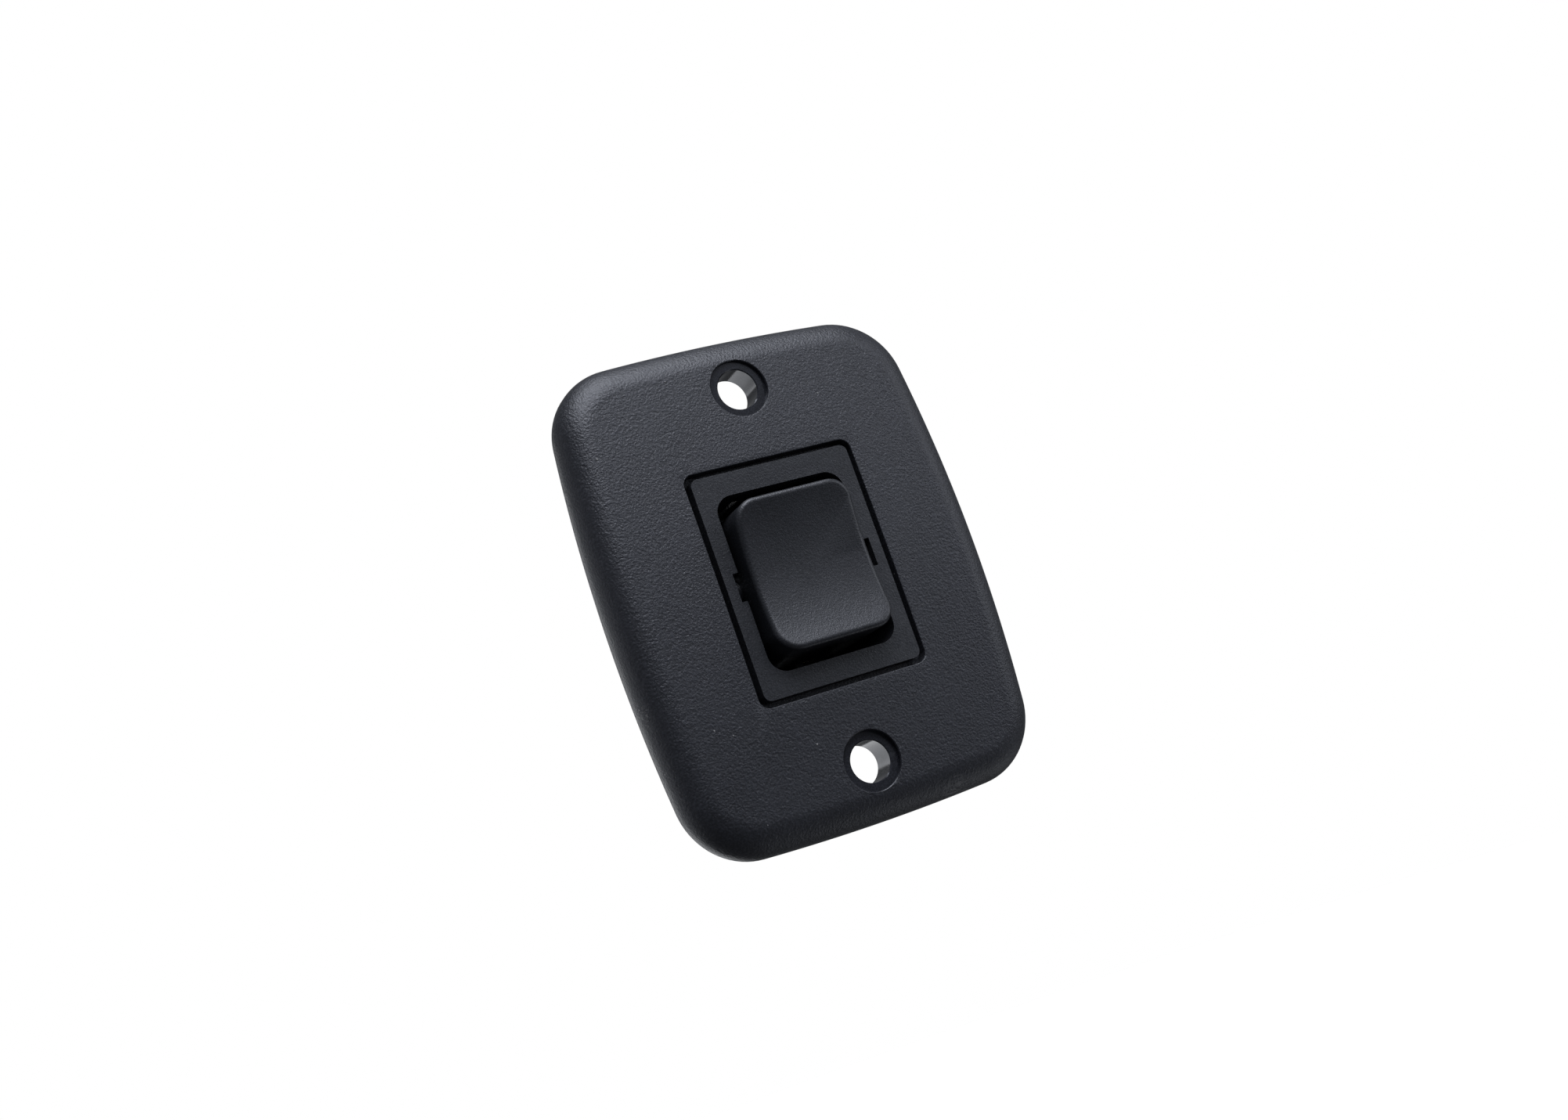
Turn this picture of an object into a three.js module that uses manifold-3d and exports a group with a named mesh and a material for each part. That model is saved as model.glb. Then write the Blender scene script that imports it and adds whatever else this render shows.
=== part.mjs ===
// Rocker wall switch: a barrel-shaped wall plate with a two-pole, centre-off rocker switch in its window.
// Millimetres. X runs right across the plate, Y runs into the wall, Z runs up. The wall plane is Y = 0.
import * as THREE from 'three';
import { mergeVertices } from 'three/addons/utils/BufferGeometryUtils.js';
import Module from 'manifold-3d';

const wasm = await Module();
wasm.setup();

// ---------------------------------------------------------------- driving dimensions
const clearance = 0.3;                // between two pieces that touch or slide

const plate = {
  width: 51.9, height: 64.8,          // overall, across the bowed sides
  sideBow: 2.3, endBow: 1.1,          // how far each side and end bows out
  cornerRadius: 9.4,
  thickness: 5.4,                     // at the middle of the face
  endCrown: 1.1, sideCrown: 0.25,     // how far the face falls away at the ends and sides
  rimWall: 0.8, edgeRound: 4.1,       // straight wall at the wall plane, then the rounded edge
  shell: 1.8,                         // wall of the hollow moulding
  webThickness: 1.6,                  // round the sleeve, where the latches grip
  ribThickness: 1.2, ribSetback: 0.6,
};
const screw = { spacing: 50, holeDiameter: 5.35, headDiameter: 7.6, headDepth: 0.65, bossWall: 1.9 };
const flange = {
  width: 22.2, height: 29.0, thickness: 2.0, cornerRadius: 1.0, edgeRound: 0.3,
  setBack: 0.15,                      // from the plate's face at the middle of the window
  plateGap: 0.75,                     // all round, to the plate's window
  sideBand: 2.15, endBand: 2.95,      // the flat bands beside and above the opening
  openingRadius: 2.4,
};
const sleeve = { sideWall: 1.25, endWall: 1.85, cornerRadius: 1.6 };
const latch = { width: 8, thickness: 0.9, reach: 1.0, length: 4.4, slit: 0.8, tongue: 9 };
const rocker = {
  sideGap: 0.75, endGap: 1.65,        // to the opening, at the centre position
  cornerRadius: 3.0,
  saddleRadius: 32, standProud: 2.05, // of the flange, at the middle of its length
  wall: 1.3, skirtDepth: 10.6,
};
const pivot = {
  belowFlange: 4.0, pinDiameter: 3.1, pinLength: 1.7,
  notchDepth: 0.75, notchLead: 1.5, rampDepth: 0.4,   // for the pins to snap in over
};
const plunger = { diameter: 2.3, length: 6.4, tipReach: 9.0, tubeWall: 0.8, tubeDepth: 7.4, standOut: 3.2 };
const spring = { diameter: 2.0, wire: 0.35, turns: 4 };
const blade = { width: 4.0, thickness: 0.6, bendDegrees: 8, endMargin: 1.3, notchDepth: 0.4 };
const rivet = { headDiameter: 2.4, headHeight: 0.5, shankDiameter: 1.0, tailDiameter: 1.9, tailHeight: 0.3 };
const terminal = {
  width: 4.8, thickness: 0.8, spadeLength: 8.5, tipChamfer: 0.9, holeDiameter: 1.6, holeAt: 5.1,
  headLength: 4.2, earHeight: 1.3,
  sideSpace: 0.5, endSpace: 1.55,     // to the inside of the base's spigot
};
const base = { thickness: 2.4, spigotDepth: 2.6, spigotWall: 1.0, dividerWall: 1.0, dividerRise: 8.0 };
const snap = { width: 4, height: 1.0, reach: 0.7 };   // lugs of the base in the sleeve's side windows

// ---------------------------------------------------------------- sizes and places worked out from them
const windowWidth = flange.width + 2 * flange.plateGap;
const windowHeight = flange.height + 2 * flange.plateGap;
const openingWidth = flange.width - 2 * flange.sideBand;
const openingHeight = flange.height - 2 * flange.endBand;
const sleeveWidth = openingWidth + 2 * sleeve.sideWall;
const sleeveHeight = openingHeight + 2 * sleeve.endWall;
const rockerWidth = openingWidth - 2 * rocker.sideGap;
const rockerLength = openingHeight - 2 * rocker.endGap;
const spigotInset = clearance + base.spigotWall;
const poleX = openingWidth / 2 - spigotInset - terminal.sideSpace - terminal.width / 2;
const throwLegZ = openingHeight / 2 - spigotInset - terminal.endSpace - terminal.thickness / 2;
const contactZ = throwLegZ - terminal.headLength / 2;
const bladeHalfLength = contactZ + blade.endMargin;
const rivetHole = rivet.shankDiameter / 2 + clearance;

// along Y, from the front of the flange to the tips of the terminals
const flangeFront = -(plate.thickness - flange.setBack);
const flangeBack = flangeFront + flange.thickness;
const webBack = flangeBack + plate.webThickness;
const rockerMiddle = flangeFront - rocker.standProud;
const skirtBottom = rockerMiddle + rocker.skirtDepth;
const pivotY = flangeFront + pivot.belowFlange;
const tipY = pivotY + plunger.tipReach;
const plungerBack = tipY - plunger.length;
const tubeEnd = tipY - plunger.standOut;
const boreFloor = tubeEnd - plunger.tubeDepth;
const bladeFront = tipY + clearance;
const bladeBack = bladeFront + blade.thickness;
const seatFront = bladeBack + clearance;
const movingFaceY = seatFront + rivet.headHeight;      // of a closed contact, with its arm upright
const fixedFaceY = movingFaceY + clearance;
const headFrontY = fixedFaceY + rivet.headHeight + clearance;
const headBackY = headFrontY + terminal.thickness;
const sleeveBack = headBackY + base.spigotDepth;
const snapY = sleeveBack - snap.height - clearance;
const baseFront = sleeveBack + clearance;
const baseBack = baseFront + base.thickness;
const terminalTip = baseBack + terminal.spadeLength;
const wellBeyond = 3 * plate.thickness;                // how far a through cut runs past both faces

// ---------------------------------------------------------------- solids and booleans
const toSolid = (geometry) => {
  const bare = geometry.clone();
  for (const name of Object.keys(bare.attributes)) if (name !== 'position') bare.deleteAttribute(name);
  const merged = mergeVertices(bare, 1e-4);
  const corners = merged.index.array;
  const kept = [];
  for (let k = 0; k < corners.length; k += 3) {
    const [a, b, c] = [corners[k], corners[k + 1], corners[k + 2]];
    if (a !== b && b !== c && c !== a) kept.push(a, b, c);
  }
  return new wasm.Manifold(new wasm.Mesh({
    numProp: 3,
    vertProperties: new Float32Array(merged.attributes.position.array),
    triVerts: new Uint32Array(kept),
  }));
};
const toGeometry = (solid) => {
  const mesh = solid.getMesh();
  const geometry = new THREE.BufferGeometry();
  geometry.setAttribute('position', new THREE.BufferAttribute(new Float32Array(mesh.vertProperties), 3));
  geometry.setIndex(new THREE.BufferAttribute(new Uint32Array(mesh.triVerts), 1));
  geometry.computeVertexNormals();
  return geometry;
};
const joined = (...solids) => solids.reduce((sum, next) => sum.add(next));
const cutBy = (solid, ...cutters) => cutters.reduce((rest, next) => rest.subtract(next), solid);
const mirroredZ = (solid) => solid.mirror([0, 0, 1]);

// a block between two corners
const block = (x0, x1, y0, y1, z0, z1) => toSolid(
  new THREE.BoxGeometry(x1 - x0, y1 - y0, z1 - z0).translate((x0 + x1) / 2, (y0 + y1) / 2, (z0 + z1) / 2));
// a round bar along Y or along X
const barY = (radius, x, z, y0, y1, sides = 32) => toSolid(
  new THREE.CylinderGeometry(radius, radius, y1 - y0, sides).translate(x, (y0 + y1) / 2, z));
const barX = (radius, y, z, x0, x1, sides = 28) => toSolid(
  new THREE.CylinderGeometry(radius, radius, x1 - x0, sides).rotateZ(Math.PI / 2)
    .translate((x0 + x1) / 2, y, z));
// a turned piece about an axis along Y, from [radius, y] points that start and end on the axis
const turnedY = (points, x, z, sides = 24) => toSolid(
  new THREE.LatheGeometry(points.map(([r, y]) => new THREE.Vector2(r, y)), sides).translate(x, 0, z));

// an outline with rounded corners in the XZ plane
const roundedOutline = (width, height, radius) => {
  const x = width / 2;
  const z = height / 2;
  const shape = new THREE.Shape();
  shape.moveTo(x - radius, -z);
  shape.absarc(x - radius, -z + radius, radius, -Math.PI / 2, 0);
  shape.absarc(x - radius, z - radius, radius, 0, Math.PI / 2);
  shape.absarc(-x + radius, z - radius, radius, Math.PI / 2, Math.PI);
  shape.absarc(-x + radius, -z + radius, radius, Math.PI, 1.5 * Math.PI);
  return shape;
};
// a prism along Y from an outline in the XZ plane
const prismY = (shape, y0, y1, curveSegments = 6) => toSolid(
  new THREE.ExtrudeGeometry(shape, { depth: y1 - y0, bevelEnabled: false, curveSegments })
    .rotateX(Math.PI / 2).translate(0, y1, 0));
// a prism along X from [y, z] points
const alongX = new THREE.Matrix4().makeBasis(
  new THREE.Vector3(0, 1, 0), new THREE.Vector3(0, 0, 1), new THREE.Vector3(1, 0, 0));
const prismX = (points, x0, x1) => {
  const shape = new THREE.Shape(points.map(([y, z]) => new THREE.Vector2(y, z)));
  const geometry = new THREE.ExtrudeGeometry(shape, { depth: x1 - x0, bevelEnabled: false });
  return toSolid(geometry.applyMatrix4(alongX).translate(x0, 0, 0));
};

// a closed skin over rings of equal length, with a flat or peaked cap at each end
const skinOverRings = (rings, firstCentre, lastCentre) => {
  const count = rings[0].length;
  const positions = [...rings.flat(), firstCentre, lastCentre].flat();
  const triangles = [];
  const firstIndex = rings.length * count;
  for (let k = 0; k < count; k += 1) {
    const next = (k + 1) % count;
    triangles.push(firstIndex, next, k);
    for (let ring = 0; ring + 1 < rings.length; ring += 1) {
      const low = ring * count;
      const high = low + count;
      triangles.push(low + k, low + next, high + next, low + k, high + next, high + k);
    }
    const last = (rings.length - 1) * count;
    triangles.push(last + k, last + next, firstIndex + 1);
  }
  const geometry = new THREE.BufferGeometry();
  geometry.setAttribute('position', new THREE.Float32BufferAttribute(positions, 3));
  geometry.setIndex(triangles);
  return toSolid(geometry);
};

// ---------------------------------------------------------------- face plate
// the barrel outline is four long arcs joined by four tangent corner arcs; inset moves it inwards
const barrel = (() => {
  const a = plate.width / 2;
  const b = plate.height / 2;
  const sideRadius = (b * b + plate.sideBow ** 2) / (2 * plate.sideBow);
  const endRadius = (a * a + plate.endBow ** 2) / (2 * plate.endBow);
  const side = new THREE.Vector2(a - sideRadius, 0);
  const end = new THREE.Vector2(0, b - endRadius);
  const toEnd = end.clone().sub(side);
  const apart = toEnd.length();
  const r1 = sideRadius - plate.cornerRadius;
  const r2 = endRadius - plate.cornerRadius;
  const along = (apart * apart + r1 * r1 - r2 * r2) / (2 * apart);
  const across = Math.sqrt(r1 * r1 - along * along);
  const unit = toEnd.clone().normalize();
  const foot = side.clone().addScaledVector(unit, along);
  const normal = new THREE.Vector2(-unit.y, unit.x);
  const [one, other] = [across, -across].map((step) => foot.clone().addScaledVector(normal, step));
  const corner = one.x + one.y > other.x + other.y ? one : other;
  const sideAngle = corner.clone().sub(side).angle();
  const endAngle = corner.clone().sub(end).angle();
  return { sideRadius, endRadius, side, end, corner, sideAngle, endAngle };
})();
const arcPoints = (centre, radius, from, to, steps, includeLast) => {
  const points = [];
  for (let k = 0; k < (includeLast ? steps + 1 : steps); k += 1) {
    const angle = from + ((to - from) * k) / steps;
    points.push([centre.x + radius * Math.cos(angle), centre.y + radius * Math.sin(angle)]);
  }
  return points;
};
const barrelRing = (inset) => {
  const quarter = [
    ...arcPoints(barrel.side, barrel.sideRadius - inset, 0, barrel.sideAngle, 4, false),
    ...arcPoints(barrel.corner, plate.cornerRadius - inset, barrel.sideAngle, barrel.endAngle, 6, false),
    ...arcPoints(barrel.end, barrel.endRadius - inset, barrel.endAngle, Math.PI / 2, 3, true),
  ];
  const inner = quarter.slice(1, -1);
  return [
    ...quarter,
    ...inner.map(([x, z]) => [-x, z]).reverse(),
    ...quarter.map(([x, z]) => [-x, -z]),
    ...inner.map(([x, z]) => [x, -z]).reverse(),
  ];
};
// how far the crowned face stands off the wall at a place on it
const faceHeight = (x, z) => plate.thickness
  - plate.sideCrown * (x / (plate.width / 2)) ** 2 - plate.endCrown * (z / (plate.height / 2)) ** 2;
// the moulding's outer form, or the same form drawn in by a wall
const plateForm = (wall, edgeSteps, faceScales) => {
  const rimWall = plate.rimWall;
  const round = plate.edgeRound - (wall > 0 ? wall / 2 : 0);
  const rings = [];
  const ringAt = (inset, shrink, rise) => barrelRing(wall + inset).map(([x, z]) => {
    const px = x * shrink;
    const pz = z * shrink;
    const top = faceHeight(px, pz) - wall;
    return [px, -(rise === null ? 0 : rimWall + (top - rimWall) * rise), pz];
  });
  rings.push(ringAt(0, 1, null));
  for (let k = 0; k <= edgeSteps; k += 1) {
    const angle = (Math.PI / 2) * (k / edgeSteps);
    rings.push(ringAt(round * (1 - Math.cos(angle)), 1, Math.sin(angle)));
  }
  for (const shrink of faceScales) rings.push(ringAt(round, shrink, 1));
  return skinOverRings(rings, [0, 0, 0], [0, -(faceHeight(0, 0) - wall), 0]);
};

const makeFacePlate = () => {
  const outside = plateForm(0, 5, [0.75, 0.4]);
  const hollow = plateForm(plate.shell, 3, [0.5]);
  const deep = wellBeyond;
  const windowShape = roundedOutline(windowWidth, windowHeight, flange.cornerRadius + flange.plateGap / 2);
  const cutoutShape = roundedOutline(
    sleeveWidth + 2 * clearance, sleeveHeight + 2 * clearance, sleeve.cornerRadius + clearance);
  const surroundShape = roundedOutline(
    windowWidth + 2 * plate.shell, windowHeight + 2 * plate.shell, flange.cornerRadius + plate.shell);
  const rootY = -(plate.thickness - plate.shell / 2);
  const surround = prismY(surroundShape, rootY, -plate.ribSetback);
  const webBlock = prismY(surroundShape, rootY, webBack);
  const solids = [cutBy(outside, hollow), webBlock.intersect(outside)];
  solids.push(cutBy(surround, prismY(windowShape, -deep, deep)).intersect(outside));
  for (const side of [1, -1]) {
    const z = (side * screw.spacing) / 2;
    solids.push(barY(screw.headDiameter / 2 + screw.bossWall, 0, z, -deep, 0).intersect(outside));
  }
  // ribs run from the window's surround to the sides, above and below the middle
  const rib = plate.ribThickness / 2;
  for (const z of [-windowHeight / 4, windowHeight / 4]) {
    for (const side of [1, -1]) {
      const x = [side * (windowWidth + plate.shell) / 2, side * (plate.width - plate.shell) / 2];
      const arm = block(Math.min(...x), Math.max(...x), -deep, -plate.ribSetback, z - rib, z + rib);
      solids.push(arm.intersect(outside));
    }
  }
  const cutters = [
    prismY(windowShape, -deep, flangeBack),
    prismY(cutoutShape, -deep, deep),
    prismY(windowShape, webBack, deep),
  ];
  for (const side of [1, -1]) {
    const z = (side * screw.spacing) / 2;
    const seatY = -(faceHeight(0, z) - screw.headDepth);
    cutters.push(barY(screw.headDiameter / 2, 0, z, -deep, seatY, 32));
    cutters.push(barY(screw.holeDiameter / 2, 0, z, -deep, deep, 28));
  }
  return cutBy(joined(...solids), ...cutters);
};

// ---------------------------------------------------------------- switch housing
const makeHousing = () => {
  const round = flange.edgeRound;
  const flangeShape = roundedOutline(flange.width, flange.height, flange.cornerRadius);
  const lipShape = roundedOutline(
    flange.width - 2 * round, flange.height - 2 * round, flange.cornerRadius - round);
  const bezel = joined(
    prismY(flangeShape, flangeFront + round, flangeBack),
    prismY(lipShape, flangeFront, flangeFront + 2 * round),
  );
  const sleeveShape = roundedOutline(sleeveWidth, sleeveHeight, sleeve.cornerRadius);
  const tube = prismY(sleeveShape, flangeBack - clearance, sleeveBack);
  const boreShape = roundedOutline(openingWidth, openingHeight, flange.openingRadius);
  const bore = prismY(boreShape, flangeFront - 1, sleeveBack + 1, 8);
  const pinRadius = pivot.pinDiameter / 2 + clearance;
  const boreX = openingWidth / 2;
  // the pins snap in over a deep notch in the flange and a shallow ramp behind it
  const lead = (depth, backY) => block(
    -boreX - depth, boreX + depth, flangeFront - 1, backY, -pinRadius, pinRadius);
  const notch = lead(pivot.notchDepth, flangeFront + pivot.notchLead);
  const ramp = lead(pivot.rampDepth, pivotY);
  const socket = barX(pinRadius, pivotY, 0, -sleeveWidth, sleeveWidth);
  // each end wall has a sprung tongue with a wedge that snaps behind the plate's web
  const endZ = sleeveHeight / 2;
  const wedgeFront = webBack + clearance;
  const wedge = prismX([
    [wedgeFront, endZ - latch.thickness], [wedgeFront, endZ + latch.reach],
    [wedgeFront + latch.length, endZ], [wedgeFront + latch.length, endZ - latch.thickness],
  ], -latch.width / 2, latch.width / 2);
  const slitFront = wedgeFront;
  const wallZ = [endZ - sleeve.endWall - 1, endZ + latch.reach + 1];
  const slits = [1, -1].map((side) => {
    const x = side * (latch.width / 2 + latch.slit / 2);
    const xs = [x - latch.slit / 2, x + latch.slit / 2];
    return block(...xs, slitFront, slitFront + latch.tongue, ...wallZ);
  });
  const slitWidth = latch.width / 2 + latch.slit;
  const acrossY = slitFront + latch.tongue;
  const acrossSlit = block(-slitWidth, slitWidth, acrossY, acrossY + latch.slit, ...wallZ);
  const relief = [...slits, acrossSlit];
  const snapWindow = block(-sleeveWidth, sleeveWidth, snapY - snap.height / 2 - clearance,
    snapY + snap.height / 2 + clearance, -snap.width / 2 - clearance, snap.width / 2 + clearance);
  const body = cutBy(joined(bezel, tube, wedge, mirroredZ(wedge)), bore, notch, ramp, socket, snapWindow);
  return cutBy(body, ...relief, ...relief.map(mirroredZ));
};

// ---------------------------------------------------------------- rocker
// the concave top is an arc about an axis along X; depth moves it inwards
const saddleProfile = (depth, halfLength, bottomY) => {
  const steps = 12;
  const axisY = rockerMiddle - rocker.saddleRadius;
  const points = [[bottomY, halfLength], [bottomY, -halfLength]];
  for (let k = 0; k <= steps; k += 1) {
    const z = -halfLength + (2 * halfLength * k) / steps;
    points.push([axisY + Math.sqrt(rocker.saddleRadius ** 2 - z * z) + depth, z]);
  }
  return points;
};
const rockerBlank = (wall, bottomY) => {
  const width = rockerWidth - 2 * wall;
  const length = rockerLength - 2 * wall;
  const outline = roundedOutline(width, length, Math.max(rocker.cornerRadius - wall, 0.5));
  const profile = saddleProfile(wall, length / 2, bottomY);
  const aboveTop = rockerMiddle - rockerLength;
  return prismY(outline, aboveTop, bottomY).intersect(prismX(profile, -width / 2, width / 2));
};
const makeRocker = () => {
  const shell = cutBy(rockerBlank(0, skirtBottom), rockerBlank(rocker.wall, skirtBottom + 1));
  const pinRadius = pivot.pinDiameter / 2;
  const halfWidth = rockerWidth / 2;
  const solids = [shell];
  for (const side of [1, -1]) {
    const inner = side * (halfWidth - rocker.wall / 2);
    const outer = side * (halfWidth + pivot.pinLength);
    solids.push(barX(pinRadius, pivotY, 0, Math.min(inner, outer), Math.max(inner, outer)));
    const tubeRadius = plunger.diameter / 2 + clearance + plunger.tubeWall;
    solids.push(barY(tubeRadius, side * poleX, 0, rockerMiddle + rocker.wall / 2, tubeEnd, 24));
  }
  const bores = [1, -1].map((side) => barY(
    plunger.diameter / 2 + clearance, side * poleX, 0, boreFloor, tubeEnd + 1, 24));
  return cutBy(joined(...solids), ...bores);
};

// ---------------------------------------------------------------- sprung plungers
const makePlunger = (side) => {
  const radius = plunger.diameter / 2;
  const points = [[0, plungerBack], [radius, plungerBack]];
  for (let k = 0; k <= 5; k += 1) {
    const angle = (Math.PI / 2) * (k / 5);
    points.push([radius * Math.cos(angle), tipY - radius + radius * Math.sin(angle)]);
  }
  points[points.length - 1][0] = 0;
  return turnedY(points, side * poleX, 0, 20);
};
const makeSpring = (side) => {
  const from = boreFloor + clearance + spring.wire / 2;
  const to = plungerBack - clearance - spring.wire / 2;
  const radius = (spring.diameter - spring.wire) / 2;
  class Coil extends THREE.Curve {
    getPoint(t, target = new THREE.Vector3()) {
      const angle = 2 * Math.PI * spring.turns * t;
      return target.set(
        side * poleX + radius * Math.cos(angle), from + (to - from) * t, radius * Math.sin(angle));
    }
  }
  const section = new THREE.Shape();
  section.absarc(0, 0, spring.wire / 2, 0, 2 * Math.PI);
  return toSolid(new THREE.ExtrudeGeometry(section, {
    steps: spring.turns * 12, extrudePath: new Coil(), curveSegments: 3, bevelEnabled: false,
  }));
};

// ---------------------------------------------------------------- see-saw blades and their contacts
// pieces on an arm are made with the arm upright, then bent forwards about the ridge that the blade rocks on
const bendArm = (solid) => solid
  .translate([0, -bladeBack, 0]).rotate([blade.bendDegrees, 0, 0]).translate([0, bladeBack, 0]);
const makeBlade = (side) => {
  const x = side * poleX;
  const half = blade.width / 2;
  const ridge = blade.thickness * Math.tan(THREE.MathUtils.degToRad(blade.bendDegrees));
  const flat = block(x - half, x + half, bladeFront, bladeBack, -ridge, bladeHalfLength);
  const armWithHole = cutBy(flat, barY(rivetHole, x, contactZ, bladeFront - 1, bladeBack + 1, 16));
  const upper = bendArm(armWithHole).intersect(block(x - 5, x + 5, 0, 30, 0, 20));
  const lower = mirroredZ(upper);
  const gap = terminal.thickness / 2 + clearance;
  const narrow = half - blade.notchDepth;
  const notches = [1, -1].map((edge) => {
    const xs = [x + edge * narrow, x + edge * (half + 1)];
    return block(Math.min(...xs), Math.max(...xs), bladeFront - 2, bladeBack + 1, -gap, gap);
  });
  return cutBy(joined(upper, lower), ...notches);
};
// a rivet from its contact face to its clenched tail, on an axis along Y
const makeRivet = (faceY, towards, throughFrom, throughTo, x, z) => {
  const head = rivet.headDiameter / 2;
  const shank = rivet.shankDiameter / 2;
  const tail = rivet.tailDiameter / 2;
  const seat = faceY + towards * rivet.headHeight;
  const clench = towards > 0 ? throughTo + clearance : throughFrom - clearance;
  const points = [
    [0, faceY], [head, faceY], [head, seat], [shank, seat], [shank, clench], [tail, clench],
    [tail, clench + towards * rivet.tailHeight], [0, clench + towards * rivet.tailHeight],
  ];
  return turnedY(towards > 0 ? points : points.reverse(), x, z, 16);
};
const makeMovingContact = (side, level) => {
  const upright = makeRivet(movingFaceY, -1, bladeFront, bladeBack, side * poleX, contactZ);
  const upper = bendArm(upright);
  return level > 0 ? upper : mirroredZ(upper);
};
const makeFixedContact = (side, level) => makeRivet(
  fixedFaceY, 1, headFrontY, headBackY, side * poleX, level * contactZ);

// ---------------------------------------------------------------- terminals
// a spade that stands out behind the base, with a chamfered tip and a locating hole
const makeSpade = (x, z, frontY) => {
  const half = terminal.width / 2;
  const cut = terminal.tipChamfer;
  const outline = new THREE.Shape([
    [x - half, frontY], [x + half, frontY], [x + half, terminalTip - cut],
    [x + half - cut, terminalTip], [x - half + cut, terminalTip], [x - half, terminalTip - cut],
  ].map(([u, v]) => new THREE.Vector2(u, v)));
  const hole = new THREE.Path();
  hole.absarc(x, baseBack + terminal.holeAt, terminal.holeDiameter / 2, 0, 2 * Math.PI, true);
  outline.holes.push(hole);
  const strip = { depth: terminal.thickness, bevelEnabled: false, curveSegments: 6 };
  return toSolid(new THREE.ExtrudeGeometry(outline, strip).translate(0, 0, z - terminal.thickness / 2));
};
const makeCommonTerminal = (side) => {
  const x = side * poleX;
  const half = terminal.width / 2;
  const thick = terminal.thickness / 2;
  const seatHalf = blade.width / 2 - blade.notchDepth + clearance;
  const ears = [1, -1].map((edge) => {
    const xs = [x + edge * seatHalf, x + edge * half];
    const earFront = seatFront - terminal.earHeight;
    return block(Math.min(...xs), Math.max(...xs), earFront, seatFront + 1, -thick, thick);
  });
  return joined(makeSpade(x, 0, seatFront), ...ears);
};
const makeThrowTerminal = (side, level) => {
  const x = side * poleX;
  const half = terminal.width / 2;
  const thick = terminal.thickness / 2;
  const inner = contactZ - terminal.headLength / 2;
  const head = block(x - half, x + half, headFrontY, headBackY, inner, throwLegZ + thick);
  const hole = barY(rivetHole, x, contactZ, headFrontY - 1, headBackY + 1, 16);
  const upper = cutBy(joined(head, makeSpade(x, throwLegZ, headFrontY)), hole);
  return level > 0 ? upper : mirroredZ(upper);
};

// ---------------------------------------------------------------- terminal base
const makeTerminalBase = () => {
  const floor = prismY(roundedOutline(sleeveWidth, sleeveHeight, sleeve.cornerRadius), baseFront, baseBack);
  const spigotFront = baseFront - base.spigotDepth;
  const spigotOutline = (inset) => roundedOutline(
    openingWidth - 2 * inset, openingHeight - 2 * inset, flange.openingRadius - inset);
  const spigot = cutBy(
    prismY(spigotOutline(clearance), spigotFront, baseFront + 1),
    prismY(spigotOutline(spigotInset), spigotFront - 1, baseFront));
  // a wall between the poles, which runs into the spigot at both ends
  const dividerX = base.dividerWall / 2;
  const dividerZ = openingHeight / 2 - clearance - base.spigotWall / 2;
  const dividerFront = baseFront - base.dividerRise;
  const divider = block(-dividerX, dividerX, dividerFront, baseFront + 1, -dividerZ, dividerZ);
  const solids = [floor, spigot, divider];
  for (const side of [1, -1]) {
    const inner = openingWidth / 2 - clearance - base.spigotWall / 2;
    const xs = [side * inner, side * (openingWidth / 2 + snap.reach)];
    solids.push(block(Math.min(...xs), Math.max(...xs),
      snapY - snap.height / 2, snapY + snap.height / 2, -snap.width / 2, snap.width / 2));
  }
  const slots = [];
  const slotX = terminal.width / 2 + clearance;
  const slotZ = terminal.thickness / 2 + clearance;
  for (const x of [-poleX, poleX]) {
    for (const z of [-throwLegZ, 0, throwLegZ]) {
      slots.push(block(x - slotX, x + slotX, spigotFront, baseBack + 1, z - slotZ, z + slotZ));
    }
  }
  return cutBy(joined(...solids), ...slots);
};

// ---------------------------------------------------------------- the assembly
const finishes = {
  blackPlate: { color: 0x3c3e46, roughness: 0.6, metalness: 0 },
  blackSwitch: { color: 0x35373d, roughness: 0.55, metalness: 0 },
  blackBase: { color: 0x26272b, roughness: 0.6, metalness: 0 },
  nylon: { color: 0xd8d4c4, roughness: 0.45, metalness: 0 },
  springSteel: { color: 0x9a9da1, roughness: 0.3, metalness: 1 },
  brass: { color: 0xb08d4a, roughness: 0.35, metalness: 1 },
  silver: { color: 0xc9cacc, roughness: 0.25, metalness: 1 },
};
const assembly = new THREE.Group();
const addPiece = (name, solid, finish) => {
  const mesh = new THREE.Mesh(toGeometry(solid), new THREE.MeshStandardMaterial(finishes[finish]));
  mesh.name = name;
  assembly.add(mesh);
};
addPiece('face_plate', makeFacePlate(), 'blackPlate');
addPiece('switch_housing', makeHousing(), 'blackSwitch');
addPiece('rocker', makeRocker(), 'blackSwitch');
addPiece('terminal_base', makeTerminalBase(), 'blackBase');
for (const [sideName, side] of [['left', -1], ['right', 1]]) {
  addPiece(`plunger_${sideName}`, makePlunger(side), 'nylon');
  addPiece(`plunger_spring_${sideName}`, makeSpring(side), 'springSteel');
  addPiece(`contact_blade_${sideName}`, makeBlade(side), 'brass');
  addPiece(`common_terminal_${sideName}`, makeCommonTerminal(side), 'brass');
  for (const [levelName, level] of [['upper', 1], ['lower', -1]]) {
    addPiece(`moving_contact_${sideName}_${levelName}`, makeMovingContact(side, level), 'silver');
    addPiece(`fixed_contact_${sideName}_${levelName}`, makeFixedContact(side, level), 'silver');
    addPiece(`throw_terminal_${sideName}_${levelName}`, makeThrowTerminal(side, level), 'brass');
  }
}

export default assembly;
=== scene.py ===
"""Rocker wall switch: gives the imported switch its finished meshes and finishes, and sets it before a camera.

Lengths in the classes are millimetres. X runs right across the plate, Y into the wall, Z up.
"""

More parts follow.
